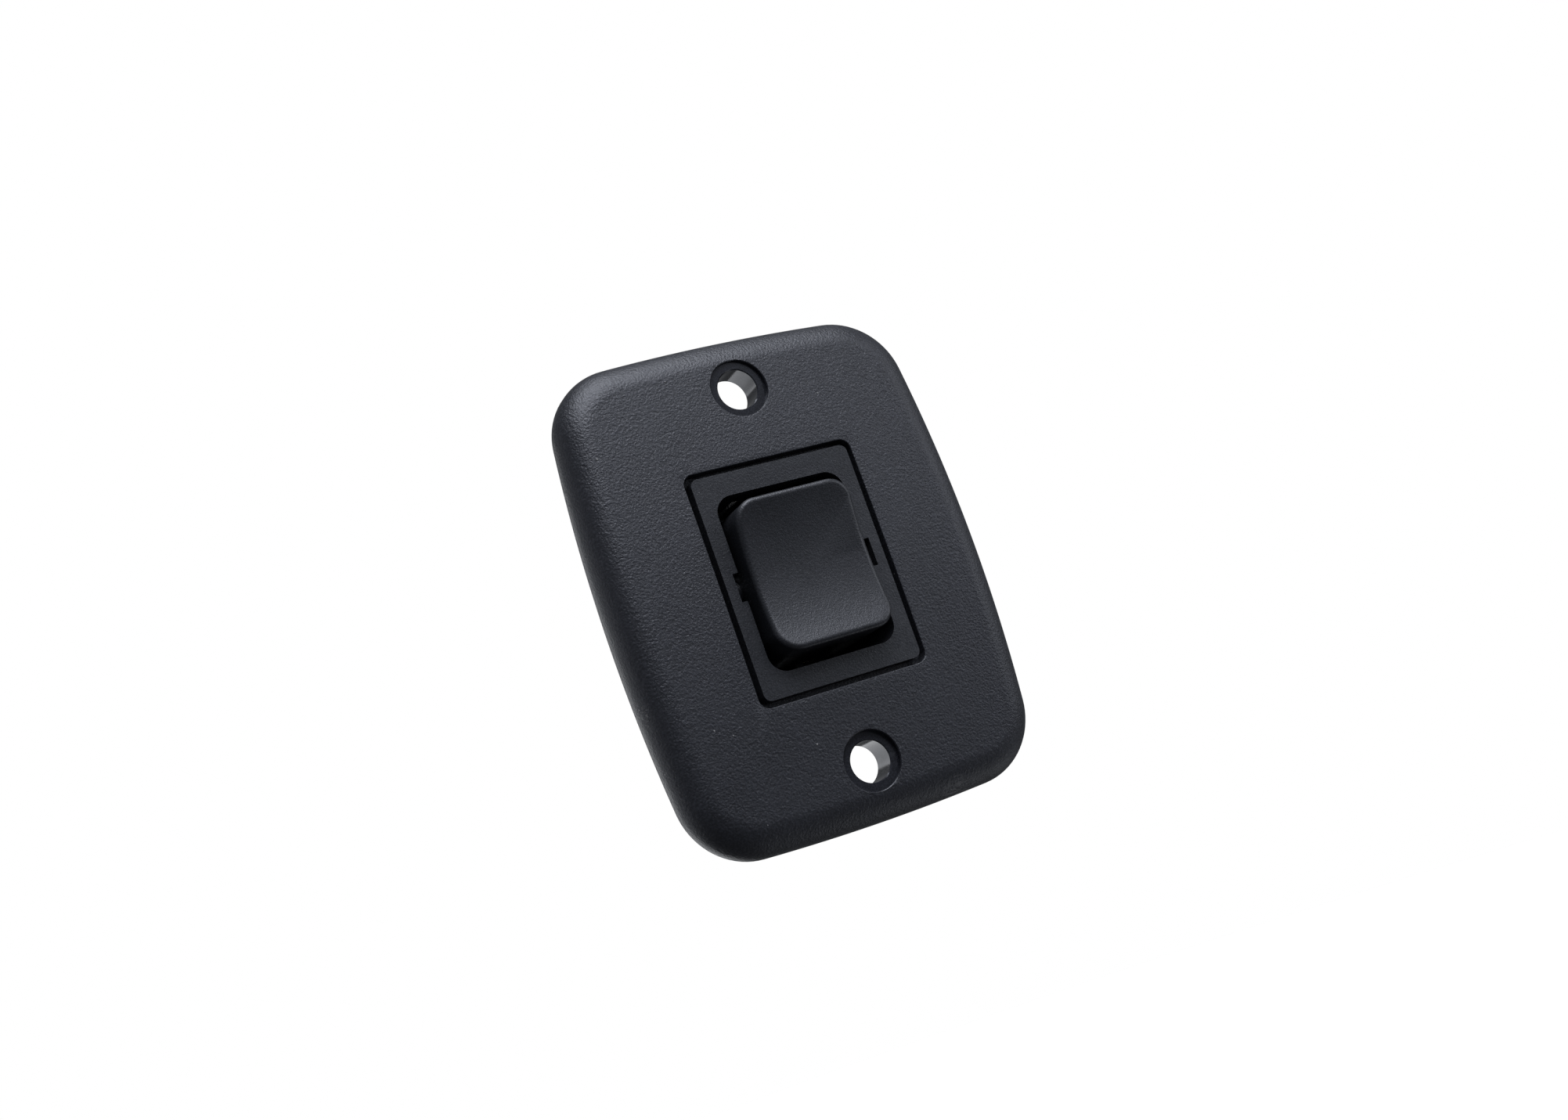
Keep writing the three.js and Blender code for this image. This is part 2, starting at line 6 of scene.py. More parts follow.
import logging
import math
from dataclasses import dataclass
from enum import Enum
from typing import Callable, Optional, Sequence, Union

import bmesh
import bpy
from mathutils import Matrix, Vector


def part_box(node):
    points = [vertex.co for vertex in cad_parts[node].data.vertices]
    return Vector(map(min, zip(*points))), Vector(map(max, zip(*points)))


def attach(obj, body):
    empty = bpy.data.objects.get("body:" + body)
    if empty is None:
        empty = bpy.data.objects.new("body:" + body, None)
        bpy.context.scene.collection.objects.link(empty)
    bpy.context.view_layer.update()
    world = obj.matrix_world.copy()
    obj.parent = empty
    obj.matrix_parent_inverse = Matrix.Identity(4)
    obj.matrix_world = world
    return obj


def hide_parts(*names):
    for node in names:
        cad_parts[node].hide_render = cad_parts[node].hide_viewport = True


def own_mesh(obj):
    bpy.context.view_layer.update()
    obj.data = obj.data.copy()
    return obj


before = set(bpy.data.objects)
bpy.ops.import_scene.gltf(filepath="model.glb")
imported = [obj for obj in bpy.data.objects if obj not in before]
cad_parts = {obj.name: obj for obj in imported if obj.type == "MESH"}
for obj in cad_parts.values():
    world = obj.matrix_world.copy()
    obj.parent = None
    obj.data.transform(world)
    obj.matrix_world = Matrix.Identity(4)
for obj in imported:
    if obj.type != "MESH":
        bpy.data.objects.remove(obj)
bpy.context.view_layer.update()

MM = 0.001
log = logging.getLogger("rocker_wall_switch")

Point2 = tuple[float, float]
Point3 = tuple[float, float, float]
Ring = list[Point3]
Colour = tuple[float, float, float]


# ------------------------------------------------------------------ node graphs
class Field:
    """A socket that carries numbers, with the arithmetic operators written as Math nodes."""

    def __init__(self, graph: "Graph", socket: bpy.types.NodeSocket) -> None:
        """Keeps the graph that new nodes go into, and the socket."""
        self.graph = graph
        self.socket = socket

    def math(self, operation: str, *others: "Value", clamp: bool = False) -> "Field":
        """Adds a Math node.

        Args:
            operation: the Math node's operation.
            others: what its second and third sockets take.
            clamp: whether the result is kept between 0 and 1.

        Returns:
            The node's result.
        """
        inputs = {0: self, **{k + 1: other for k, other in enumerate(others)}}
        node = self.graph.node("ShaderNodeMath", {"operation": operation, "use_clamp": clamp}, inputs)
        return Field(self.graph, node.outputs[0])

    def __add__(self, other: "Value") -> "Field":
        """self + other."""
        return self.math("ADD", other)

    __radd__ = __add__

    def __sub__(self, other: "Value") -> "Field":
        """self - other."""
        return self.math("SUBTRACT", other)

    def __rsub__(self, other: float) -> "Field":
        """other - self."""
        return self.math("MULTIPLY_ADD", -1.0, other)

    def __mul__(self, other: "Value") -> "Field":
        """self * other."""
        return self.math("MULTIPLY", other)

    __rmul__ = __mul__

    def __truediv__(self, other: "Value") -> "Field":
        """self / other."""
        return self.math("DIVIDE", other)

    def __rtruediv__(self, other: float) -> "Field":
        """other / self."""
        return self.math("POWER", -1.0) * other

    def __pow__(self, other: "Value") -> "Field":
        """self to the power other."""
        return self.math("POWER", other)

    def __neg__(self) -> "Field":
        """-self."""
        return self * -1.0

    def root(self) -> "Field":
        """The square root."""
        return self.math("SQRT")

    def clamped(self) -> "Field":
        """Kept between 0 and 1."""
        return self.math("ADD", 0.0, clamp=True)

    def smooth_step(self, low: float, high: float) -> "Field":
        """0 below low and 1 above high, with a smooth rise between them.

        Args:
            low: where the rise starts.
            high: where it ends.

        Returns:
            The stepped value.
        """
        inputs = {"Value": self, "From Min": low, "From Max": high}
        made = self.graph.node("ShaderNodeMapRange", {"interpolation_type": "SMOOTHSTEP"}, inputs)
        return Field(self.graph, made.outputs[0])


Value = Union[Field, float, int]


class Graph:
    """A node tree under construction."""

    def __init__(self, tree: bpy.types.NodeTree) -> None:
        """Keeps the tree."""
        self.tree = tree

    def node(
        self, kind: str, settings: Optional[dict] = None, inputs: Optional[dict] = None
    ) -> bpy.types.Node:
        """Makes any node.

        Args:
            kind: the node's type.
            settings: properties set before its sockets.
            inputs: values or links by socket name, identifier or number.

        Returns:
            The new node.
        """
        made = self.tree.nodes.new(kind)
        for key, value in (settings or {}).items():
            setattr(made, key, value)
        for key, value in (inputs or {}).items():
            self.feed(made, key, value)
        return made

    def feed(self, made: bpy.types.Node, key: Union[str, int], value: object) -> None:
        """Gives one socket its value or link.

        Args:
            made: the node.
            key: the socket's name, identifier or number.
            value: a number, vector, data block, socket or Field.
        """
        if isinstance(key, int):
            socket = made.inputs[key]
        else:
            found = [s for s in made.inputs if s.identifier == key]
            socket = (found or [s for s in made.inputs if s.name == key])[0]
        if isinstance(value, Field):
            value = value.socket
        if isinstance(value, bpy.types.NodeSocket):
            self.tree.links.new(value, socket)
        else:
            socket.default_value = value

    def field(self, made: bpy.types.Node, output: Union[str, int] = 0) -> Field:
        """A node's output, ready for arithmetic."""
        return Field(self, made.outputs[output])


class ShaderGraph(Graph):
    """A material's node tree, with the patterns that the finishes share."""

    def __init__(self, name: str) -> None:
        """Makes the material with a Principled shader and an output."""
        self.material = bpy.data.materials.new(name)
        self.material.use_nodes = True
        super().__init__(self.material.node_tree)
        self.tree.nodes.clear()
        self.shader = self.node("ShaderNodeBsdfPrincipled")
        self.node("ShaderNodeOutputMaterial", None, {"Surface": self.shader.outputs[0]})
        self.place = self.node("ShaderNodeTexCoord").outputs["Object"]

    def stretched(self, scale: tuple[float, float, float]) -> bpy.types.NodeSocket:
        """The piece's own coordinates, scaled along each axis."""
        return self.node("ShaderNodeMapping", None, {"Vector": self.place, "Scale": scale}).outputs[0]

    def noise(
        self, size_mm: float, detail: float = 2.0, where: Optional[bpy.types.NodeSocket] = None
    ) -> Field:
        """Soft noise whose blots are about size_mm across.

        Args:
            size_mm: the blots' size.
            detail: how many finer layers are added.
            where: coordinates other than the piece's own.

        Returns:
            The noise, from 0 to 1.
        """
        inputs = {"Vector": where or self.place, "Scale": 1.0 / (size_mm * MM), "Detail": detail}
        return self.field(self.node("ShaderNodeTexNoise", None, inputs))

    def cells(self, size_mm: float) -> Field:
        """The distance to the nearest of scattered points about size_mm apart."""
        inputs = {"Vector": self.place, "Scale": 1.0 / (size_mm * MM)}
        return self.field(self.node("ShaderNodeTexVoronoi", None, inputs))

    def near(self, centre: Point3, reach_mm: float) -> Field:
        """1 at a place on the piece, falling to 0 at reach_mm from it.

        Args:
            centre: the place, in millimetres.
            reach_mm: where the mask ends.

        Returns:
            The mask.
        """
        spot = tuple(c * MM for c in centre)
        apart = self.node("ShaderNodeVectorMath", {"operation": "DISTANCE"}, {0: self.place, 1: spot})
        return 1.0 - Field(self, apart.outputs["Value"]).smooth_step(0.2 * reach_mm * MM, reach_mm * MM)

    def within_bore(self, level: float, radius_mm: float) -> Field:
        """1 inside a bore along Y and 0 outside it.

        Args:
            level: the bore's place up Z, in millimetres.
            radius_mm: its radius.

        Returns:
            The mask.
        """
        inputs = {0: self.place, 1: (1.0, 0.0, 1.0)}
        flat = self.node("ShaderNodeVectorMath", {"operation": "MULTIPLY"}, inputs)
        inputs = {0: flat.outputs[0], 1: (0.0, 0.0, level * MM)}
        apart = self.node("ShaderNodeVectorMath", {"operation": "DISTANCE"}, inputs)
        return 1.0 - Field(self, apart.outputs["Value"]).smooth_step(radius_mm * MM, (radius_mm + 0.1) * MM)

    def edge(self) -> Field:
        """1 on sharp outward edges and 0 on flat faces."""
        geometry = self.node("ShaderNodeNewGeometry")
        return Field(self, geometry.outputs["Pointiness"]).smooth_step(0.52, 0.6)

    def mix(self, factor: Value, first: object, second: object) -> bpy.types.NodeSocket:
        """Mixes two colours.

        Args:
            factor: how much of the second.
            first: a colour or its socket.
            second: a colour or its socket.

        Returns:
            The mixed colour's socket.
        """
        inputs = {"Factor_Float": factor}
        for key, colour in (("A_Color", first), ("B_Color", second)):
            inputs[key] = (*colour, 1.0) if isinstance(colour, tuple) else colour
        made = self.node("ShaderNodeMix", {"data_type": "RGBA"}, inputs)
        return next(s for s in made.outputs if s.identifier == "Result_Color")

    def bumped(self, height: Value, depth_mm: float, strength: float = 1.0) -> None:
        """Feeds the shader's normal with a relief.

        Args:
            height: the relief, where 1 is depth_mm high.
            depth_mm: its depth.
            strength: the Bump node's strength.
        """
        inputs = {"Height": height, "Distance": depth_mm * MM, "Strength": strength}
        self.feed(self.shader, "Normal", self.node("ShaderNodeBump", None, inputs).outputs[0])


# ------------------------------------------------------------------ finishes
@dataclass(frozen=True)
class MouldedPlastic:
    """Injection-moulded plastic with a spark-eroded grain, rubbed edges, dust and scuffs."""

    name: str
    colour: Colour
    roughness: float
    grain_mm: float = 0.24
    grain_depth_mm: float = 0.11
    rub: float = 0.35
    dust: float = 0.5
    cloud_mm: float = 9.0
    flow_mm: float = 3.0
    rub_mm: float = 1.2
    speck_gap_mm: float = 2.6
    speck_patch_mm: float = 5.0
    scratch_mm: float = 0.5
    bore_polish: float = 0.22
    scuffs: tuple[tuple[Point3, float], ...] = ()
    smooth_bores: tuple[tuple[float, float], ...] = ()
    dusty: Colour = (0.32, 0.32, 0.33)
    scratched: Colour = (0.16, 0.16, 0.17)
    reflected: Colour = (0.86, 0.89, 1.0)

    def make(self) -> bpy.types.Material:
        """Builds the material and returns it."""
        g = ShaderGraph(self.name)
        grain = g.noise(self.grain_mm, 2.0)
        fine = g.noise(self.grain_mm * 0.45, 1.0)
        pits = g.cells(self.grain_mm * 1.6)
        relief = grain * 0.6 + fine * 0.25 + pits * 0.3
        inside: Value = 0.0
        for level, radius in self.smooth_bores:
            inside = g.within_bore(level, radius) + inside
        polished = g.field(g.node("ShaderNodeMath", {"operation": "MINIMUM"}, {0: inside, 1: 1.0}))
        relief = relief * (1.0 - polished)
        cloud = g.noise(self.cloud_mm, 3.0)
        flow = g.noise(self.flow_mm, 2.0, g.stretched((1.0, 1.0, 0.25)))
        light = tuple(min(1.0, c * 3.0 + 0.004) for c in self.colour)
        dark = tuple(c * 0.72 for c in self.colour)
        tone = (grain.smooth_step(0.35, 0.72) * 0.55 + cloud * 0.3 + flow * 0.15).clamped()
        base = g.mix(tone, dark, light)
        rubbed = g.edge() * g.noise(self.rub_mm, 3.0).smooth_step(0.35, 0.65) * self.rub
        base = g.mix(rubbed.clamped(), base, tuple(min(1.0, c * 3.0 + 0.02) for c in self.colour))
        specks = 1.0 - g.cells(self.speck_gap_mm).smooth_step(0.035, 0.06)
        specks = specks * g.noise(self.speck_patch_mm, 1.0).smooth_step(0.58, 0.66) * self.dust
        base = g.mix(specks.clamped(), base, self.dusty)
        scratch: Value = 0.0
        for place, reach in self.scuffs:
            strokes = g.noise(self.scratch_mm, 4.0, g.stretched((0.35, 1.0, 2.0))).smooth_step(0.5, 0.62)
            scratch = g.near(place, reach) * strokes + scratch
        if self.scuffs:
            base = g.mix((scratch * 0.55).clamped(), base, self.scratched)
        g.feed(g.shader, "Base Color", base)
        rough = self.roughness + (cloud - 0.5) * 0.1 + (fine - 0.5) * 0.12 - rubbed * 0.18 + specks * 0.2
        rough = rough - polished * self.bore_polish
        g.feed(g.shader, "Roughness", rough.clamped())
        g.feed(g.shader, "Specular Tint", (*self.reflected, 1.0))
        g.bumped(relief + specks * 1.5 - scratch * 0.8, self.grain_depth_mm)
        return g.material


@dataclass(frozen=True)
class StampedMetal:
    """Rolled strip, stamped and bent: faint rolling lines, tarnish blots and bright sheared edges."""

    name: str
    colour: Colour
    tarnish: Colour
    roughness: float
    rolling: tuple[float, float, float] = (6.0, 0.25, 6.0)

    def make(self) -> bpy.types.Material:
        """Builds the material and returns it."""
        g = ShaderGraph(self.name)
        lines = g.noise(0.35, 3.0, g.stretched(self.rolling))
        blots = g.noise(2.2, 4.0)
        film = blots.smooth_step(0.42, 0.68) * 0.75
        edge = g.edge()
        base = g.mix(film.clamped(), self.colour, self.tarnish)
        base = g.mix((edge * 0.6).clamped(), base, tuple(min(1.0, c * 1.15) for c in self.colour))
        g.feed(g.shader, "Base Color", base)
        g.feed(g.shader, "Metallic", (1.0 - film * 0.2).clamped())
        rough = self.roughness + (lines - 0.5) * 0.18 + film * 0.2 - edge * 0.08
        g.feed(g.shader, "Roughness", rough.clamped())
        g.bumped(lines + g.noise(0.12, 1.0) * 0.4, 0.004)
        return g.material


@dataclass(frozen=True)
class TurnedMetal:
    """Wire and rivet heads: fine drawing or turning marks and a light film."""

    name: str
    colour: Colour
    roughness: float
    mark_mm: float = 0.08

    def make(self) -> bpy.types.Material:
        """Builds the material and returns it."""
        g = ShaderGraph(self.name)
        marks = g.noise(self.mark_mm, 2.0)
        film = g.noise(0.9, 3.0).smooth_step(0.4, 0.7)
        base = g.mix((film * 0.5).clamped(), self.colour, tuple(c * 0.62 for c in self.colour))
        g.feed(g.shader, "Base Color", base)
        g.feed(g.shader, "Metallic", 1.0)
        g.feed(g.shader, "Roughness", (self.roughness + film * 0.16 + (marks - 0.5) * 0.1).clamped())
        g.bumped(marks, 0.003)
        return g.material


@dataclass(frozen=True)
class NaturalNylon:
    """Unpainted nylon: milky, slightly waxy, with faint flow marks."""

    name: str
    colour: Colour
    roughness: float

    def make(self) -> bpy.types.Material:
        """Builds the material and returns it."""
        g = ShaderGraph(self.name)
        flow = g.noise(0.8, 3.0, g.stretched((1.0, 0.3, 1.0)))
        base = g.mix(flow, self.colour, tuple(c * 0.8 for c in self.colour))
        g.feed(g.shader, "Base Color", base)
        g.feed(g.shader, "Roughness", (self.roughness + (flow - 0.5) * 0.15).clamped())
        g.bumped(g.noise(0.15, 2.0), 0.004)
        return g.material


class Finish(Enum):
    """The record's material slots, each with its finish."""

    BLACK_PLATE = "black_plate"
    BLACK_SWITCH = "black_switch"
    BLACK_BASE = "black_base"
    WHITE_NYLON = "white_nylon"
    SPRING_STEEL = "spring_steel"
    CONTACT_BRASS = "contact_brass"
    TERMINAL_BRASS = "terminal_brass"
    CONTACT_SILVER = "contact_silver"


FINISHES = {
    Finish.BLACK_PLATE: MouldedPlastic(
        "black_plate_grain", (0.0055, 0.006, 0.0085), 0.42, smooth_bores=((25.0, 3.85), (-25.0, 3.85)),
        scuffs=(((-25.7, -2.0, -11.5), 2.2), ((11.0, -2.5, -31.5), 2.6), ((-24.5, -1.5, -19.0), 1.2)),
    ),
    Finish.BLACK_SWITCH: MouldedPlastic(
        "black_switch_grain", (0.004, 0.0045, 0.0062), 0.4, grain_mm=0.2, grain_depth_mm=0.045, rub=0.5,
    ),
    Finish.BLACK_BASE: MouldedPlastic(
        "black_base_satin", (0.005, 0.005, 0.006), 0.44, grain_mm=0.16, grain_depth_mm=0.006, dust=0.2,
    ),
    Finish.WHITE_NYLON: NaturalNylon("white_nylon", (0.72, 0.69, 0.6), 0.42),
    Finish.SPRING_STEEL: TurnedMetal("spring_steel", (0.56, 0.57, 0.6), 0.28),
    Finish.CONTACT_BRASS: StampedMetal("contact_brass", (0.78, 0.55, 0.27), (0.42, 0.27, 0.14), 0.3),
    Finish.TERMINAL_BRASS: StampedMetal("terminal_brass", (0.8, 0.62, 0.34), (0.47, 0.34, 0.19), 0.32),
    Finish.CONTACT_SILVER: TurnedMetal("contact_silver", (0.83, 0.82, 0.8), 0.24, 0.12),
}


class Paintbox:
    """Makes each finish once and hands it out."""

    def __init__(self) -> None:
        """Starts empty."""
        self.made: dict[Finish, bpy.types.Material] = {}

    def material(self, finish: Finish) -> bpy.types.Material:
        """The finish's material, made on its first use."""
        if finish not in self.made:
            self.made[finish] = FINISHES[finish].make()
        return self.made[finish]


# ------------------------------------------------------------------ mesh making
class Shapes:
    """Closed meshes from outlines, rings and turned profiles."""

    @staticmethod
    def arc(centre: Point2, radius: float, start: float, end: float, steps: int) -> list[Point2]:
        """Points on an arc, with both ends, angles in radians."""
        angles = [start + (end - start) * k / steps for k in range(steps + 1)]
        return [(centre[0] + radius * math.cos(a), centre[1] + radius * math.sin(a)) for a in angles]

    @classmethod
    def rounded(
        cls, width: float, height: float, radius: float, steps: int = 8, splits: int = 1
    ) -> list[Point2]:
        """A rectangle with round corners.

        Args:
            width: its size along X.
            height: its size along Z.
            radius: of the corners.
            steps: chords in each corner.
            splits: how many lengths each straight side is cut into.

        Returns:
            The outline, anticlockwise as seen with X right and Z up.
        """
        x, z = width / 2 - radius, height / 2 - radius
        points: list[Point2] = []
        for k, centre in enumerate(((x, z), (-x, z), (-x, -z), (x, -z))):
            points += cls.arc(centre, radius, k * math.pi / 2, (k + 1) * math.pi / 2, steps)
        if splits > 1:
            points = cls.split_long(points, max(width, height) / splits)
        return points

    @staticmethod
    def split_long(points: list[Point2], longest: float) -> list[Point2]:
        """Adds points so that no chord of a closed outline is longer than longest."""
        result: list[Point2] = []
        for k, (x0, z0) in enumerate(points):
            x1, z1 = points[(k + 1) % len(points)]
            count = max(1, math.ceil(math.hypot(x1 - x0, z1 - z0) / longest))
            result += [(x0 + (x1 - x0) * s / count, z0 + (z1 - z0) * s / count) for s in range(count)]
        return result

    @staticmethod
    def circle(radius: float, x: float = 0.0, z: float = 0.0, sides: int = 64) -> list[Point2]:
        """A circle's points."""
        turn = 2 * math.pi / sides
        return [(x + radius * math.cos(k * turn), z + radius * math.sin(k * turn)) for k in range(sides)]

    @staticmethod
    def skin(rings: Sequence[Ring]) -> bmesh.types.BMesh:
        """A closed skin over rings of equal length, with a cap on each end."""
        made = bmesh.new()
        rows = [[made.verts.new(Vector(p) * MM) for p in ring] for ring in rings]
        count = len(rows[0])
        for low, high in zip(rows, rows[1:]):
            for k in range(count):
                n = (k + 1) % count
                made.faces.new((low[k], low[n], high[n], high[k]))
        made.faces.new(rows[0])
        made.faces.new(rows[-1])
        bmesh.ops.recalc_face_normals(made, faces=made.faces)
        return made

    @classmethod
    def prism(cls, outline: list[Point2], y0: float, y1: float) -> bmesh.types.BMesh:
        """An outline in the XZ plane, drawn from y0 to y1."""
        return cls.skin([[(x, y, z) for x, z in outline] for y in (y0, y1)])

    @classmethod
    def bar_x(cls, radius: float, y: float, z: float, x0: float, x1: float) -> bmesh.types.BMesh:
        """A round bar along X."""
        return cls.skin([[(x, y + v, z + w) for v, w in cls.circle(radius, 0, 0, 48)] for x in (x0, x1)])

    @classmethod
    def block(cls, x: Point2, y: Point2, z: Point2) -> bmesh.types.BMesh:
        """A block between pairs of limits, in either order."""
        (x0, x1), (z0, z1) = sorted(x), sorted(z)
        return cls.prism([(x1, z0), (x1, z1), (x0, z1), (x0, z0)], *sorted(y))

    @classmethod
    def across(cls, outline: list[Point2], x0: float, x1: float) -> bmesh.types.BMesh:
        """An outline of (y, z) points, drawn along X."""
        return cls.skin([[(x, y, z) for y, z in outline] for x in (x0, x1)])

    @classmethod
    def upright(cls, outline: list[Point2], z0: float, z1: float) -> bmesh.types.BMesh:
        """An outline of (x, y) points, drawn along Z."""
        return cls.skin([[(x, y, z) for x, y in outline] for z in (z0, z1)])

    @classmethod
    def turned(cls, profile: list[Point2], x: float, z: float, sides: int = 40) -> bmesh.types.BMesh:
        """(radius, y) points turned about an axis along Y, closed by flat ends."""
        return cls.skin([[(x + a, y, z + b) for a, b in cls.circle(r, 0, 0, sides)] for r, y in profile])


class Bench:
    """Turns meshes into finished pieces: joins, cuts, bevels, dresses and mounts them on their bodies."""

    def __init__(self, paints: Paintbox) -> None:
        """Keeps the paintbox."""
        self.paints = paints

    @staticmethod
    def solid(name: str, made: bmesh.types.BMesh) -> bpy.types.Object:
        """A linked object from a mesh under construction."""
        mesh = bpy.data.meshes.new(name)
        made.to_mesh(mesh)
        made.free()
        piece = bpy.data.objects.new(name, mesh)
        bpy.context.scene.collection.objects.link(piece)
        return piece

    @staticmethod
    def settle(piece: bpy.types.Object) -> bpy.types.Object:
        """Turns the evaluated piece into a plain mesh and drops its modifiers."""
        bpy.context.view_layer.update()
        graph = bpy.context.evaluated_depsgraph_get()
        mesh = bpy.data.meshes.new_from_object(piece.evaluated_get(graph), depsgraph=graph)
        piece.modifiers.clear()
        old = piece.data
        piece.data = mesh
        bpy.data.meshes.remove(old)
        return piece

    def merge(self, piece: bpy.types.Object, operation: str, tool: bpy.types.Object) -> bpy.types.Object:
        """Joins, cuts or intersects a piece with another object, which is used up.

        Args:
            piece: the piece that is changed.
            operation: UNION, DIFFERENCE or INTERSECT.
            tool: the other object.

        Returns:
            The piece.
        """
        step = piece.modifiers.new("step", "BOOLEAN")
        step.operation, step.solver, step.object = operation, "EXACT", tool
        self.settle(piece)
        bpy.data.objects.remove(tool)
        return piece

    def combine(self, piece: bpy.types.Object, operation: str, *others: bmesh.types.BMesh) -> None:
        """Joins, cuts or intersects a piece with closed meshes, one after another."""
        for other in others:
            self.merge(piece, operation, self.solid("tool", other))

    @staticmethod
    def turn_over(piece: bpy.types.Object) -> None:
        """Mirrors a piece's mesh in the level of the pivot."""
        piece.data.transform(Matrix.Diagonal((1, 1, -1, 1)))
        piece.data.flip_normals()

    def bevel(self, piece: bpy.types.Object, width_mm: float, segments: int = 2) -> bpy.types.Object:
        """Rounds every edge sharper than 35 degrees.

        Args:
            piece: the piece.
            width_mm: the bevel's width.
            segments: its steps.

        Returns:
            The piece, with a plain mesh.
        """
        made = bmesh.new()
        made.from_mesh(piece.data)
        bmesh.ops.remove_doubles(made, verts=made.verts, dist=0.002 * MM)
        bmesh.ops.dissolve_limit(made, angle_limit=math.radians(0.5), verts=made.verts, edges=made.edges)
        made.to_mesh(piece.data)
        made.free()
        step = piece.modifiers.new("edges", "BEVEL")
        step.width = width_mm * MM
        step.segments = segments
        step.limit_method = "ANGLE"
        step.angle_limit = math.radians(35.0)
        step.use_clamp_overlap = True
        step.miter_outer = "MITER_ARC"
        return self.settle(piece)

    def dress(
        self, piece: bpy.types.Object, finish: Finish, body: str, *nodes: str, smooth_degrees: float = 32.0
    ) -> bpy.types.Object:
        """Shades a finished piece, gives it its finish and mounts it on its body.

        Args:
            piece: the piece, with its place in its mesh.
            finish: its finish.
            body: the CAD body that it moves with.
            nodes: the CAD nodes that it stands for.
            smooth_degrees: edges sharper than this stay sharp.

        Returns:
            The piece.
        """
        piece.data.materials.clear()
        piece.data.materials.append(self.paints.material(finish))
        piece.data.polygons.foreach_set("material_index", [0] * len(piece.data.polygons))
        piece.data.polygons.foreach_set("use_smooth", [True] * len(piece.data.polygons))
        piece.data.set_sharp_from_angle(angle=math.radians(smooth_degrees))
        piece.data.update()
        weights = piece.modifiers.new("shading", "WEIGHTED_NORMAL")
        weights.keep_sharp = True
        weights.weight = 60
        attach(piece, body)
        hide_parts(*nodes)
        low, high = (Vector(c) / MM for c in (piece.bound_box[0], piece.bound_box[6]))
        faces = len(piece.data.polygons)
        log.info("%s: %d faces, %.1f x %.1f x %.1f mm, on %s", piece.name, faces, *(high - low), body)
        return piece


# ------------------------------------------------------------------ Geometry Nodes
class GeometryGraph(Graph):
    """A Geometry Nodes tree with named inputs, one of which is its material."""

    def __init__(self, name: str, sizes: Sequence[str], counts: Sequence[str] = ()) -> None:
        """Makes the tree.

        Args:
            name: the tree's name.
            sizes: the names of its inputs that take any number.
            counts: the names of its inputs that take whole numbers.
        """
        super().__init__(bpy.data.node_groups.new(name, "GeometryNodeTree"))
        face = self.tree.interface
        face.new_socket("Geometry", in_out="INPUT", socket_type="NodeSocketGeometry")
        kinds = dict.fromkeys(counts, "NodeSocketInt") | dict.fromkeys(sizes, "NodeSocketFloat")
        for key, kind in (kinds | {"Material": "NodeSocketMaterial"}).items():
            face.new_socket(key, in_out="INPUT", socket_type=kind)
        face.new_socket("Geometry", in_out="OUTPUT", socket_type="NodeSocketGeometry")
        self.entry = self.node("NodeGroupInput")
        self.exit = self.node("NodeGroupOutput")

    def given(self, key: str) -> Field:
        """One of the tree's named inputs."""
        return Field(self, self.entry.outputs[key])

    def split(self) -> tuple[Field, Field, Field]:
        """The x, y and z of each point."""
        place = self.node("GeometryNodeInputPosition").outputs[0]
        made = self.node("ShaderNodeSeparateXYZ", None, {0: place})
        return self.field(made, 0), self.field(made, 1), self.field(made, 2)

    def moved(self, y: Value) -> bpy.types.NodeSocket:
        """The entry geometry with each point moved along Y."""
        offset = self.node("ShaderNodeCombineXYZ", None, {"Y": y}).outputs[0]
        inputs = {"Geometry": self.entry.outputs["Geometry"], "Offset": offset}
        return self.node("GeometryNodeSetPosition", None, inputs).outputs[0]

    def end(self, geometry: bpy.types.NodeSocket) -> None:
        """Ends the tree with Realize Instances and Set Material."""
        real = self.node("GeometryNodeRealizeInstances", None, {"Geometry": geometry}).outputs[0]
        inputs = {"Geometry": real, "Material": self.entry.outputs["Material"]}
        painted = self.node("GeometryNodeSetMaterial", None, inputs).outputs[0]
        self.tree.links.new(painted, self.exit.inputs[0])

    def apply(
        self,
        bench: Bench,
        piece: bpy.types.Object,
        finish: Finish,
        sizes: dict[str, float],
        counts: Optional[dict[str, Union[int, float]]] = None,
    ) -> bpy.types.Object:
        """Runs the tree on a piece and keeps the result as its plain mesh.

        Args:
            bench: the bench that settles the piece.
            piece: the piece.
            finish: what the Material input takes.
            sizes: lengths by input, in millimetres.
            counts: numbers by input that aren't lengths.

        Returns:
            The piece.
        """
        values: dict[str, object] = {key: size * MM for key, size in sizes.items()}
        values.update(counts or {}, Material=bench.paints.material(finish))
        step = piece.modifiers.new(self.tree.name, "NODES")
        step.node_group = self.tree
        for socket in self.tree.interface.items_tree:
            if socket.in_out == "INPUT" and socket.name in values:
                step[socket.identifier] = values[socket.name]
        return bench.settle(piece)


def crown_tree() -> GeometryGraph:
    """The rule of a crowned face: it falls away with the square of the distance from the middle."""
    sizes = ("Half Width", "Half Height", "Side Crown", "End Crown", "Rim Wall", "Thickness")
    g = GeometryGraph("crown", sizes)
    x, y, z = g.split()
    rise = (-y - g.given("Rim Wall")) / (g.given("Thickness") - g.given("Rim Wall"))
    fall = g.given("Side Crown") * (x / g.given("Half Width")) ** 2.0
    fall = fall + g.given("End Crown") * (z / g.given("Half Height")) ** 2.0
    g.end(g.moved(fall * rise.clamped()))
    return g


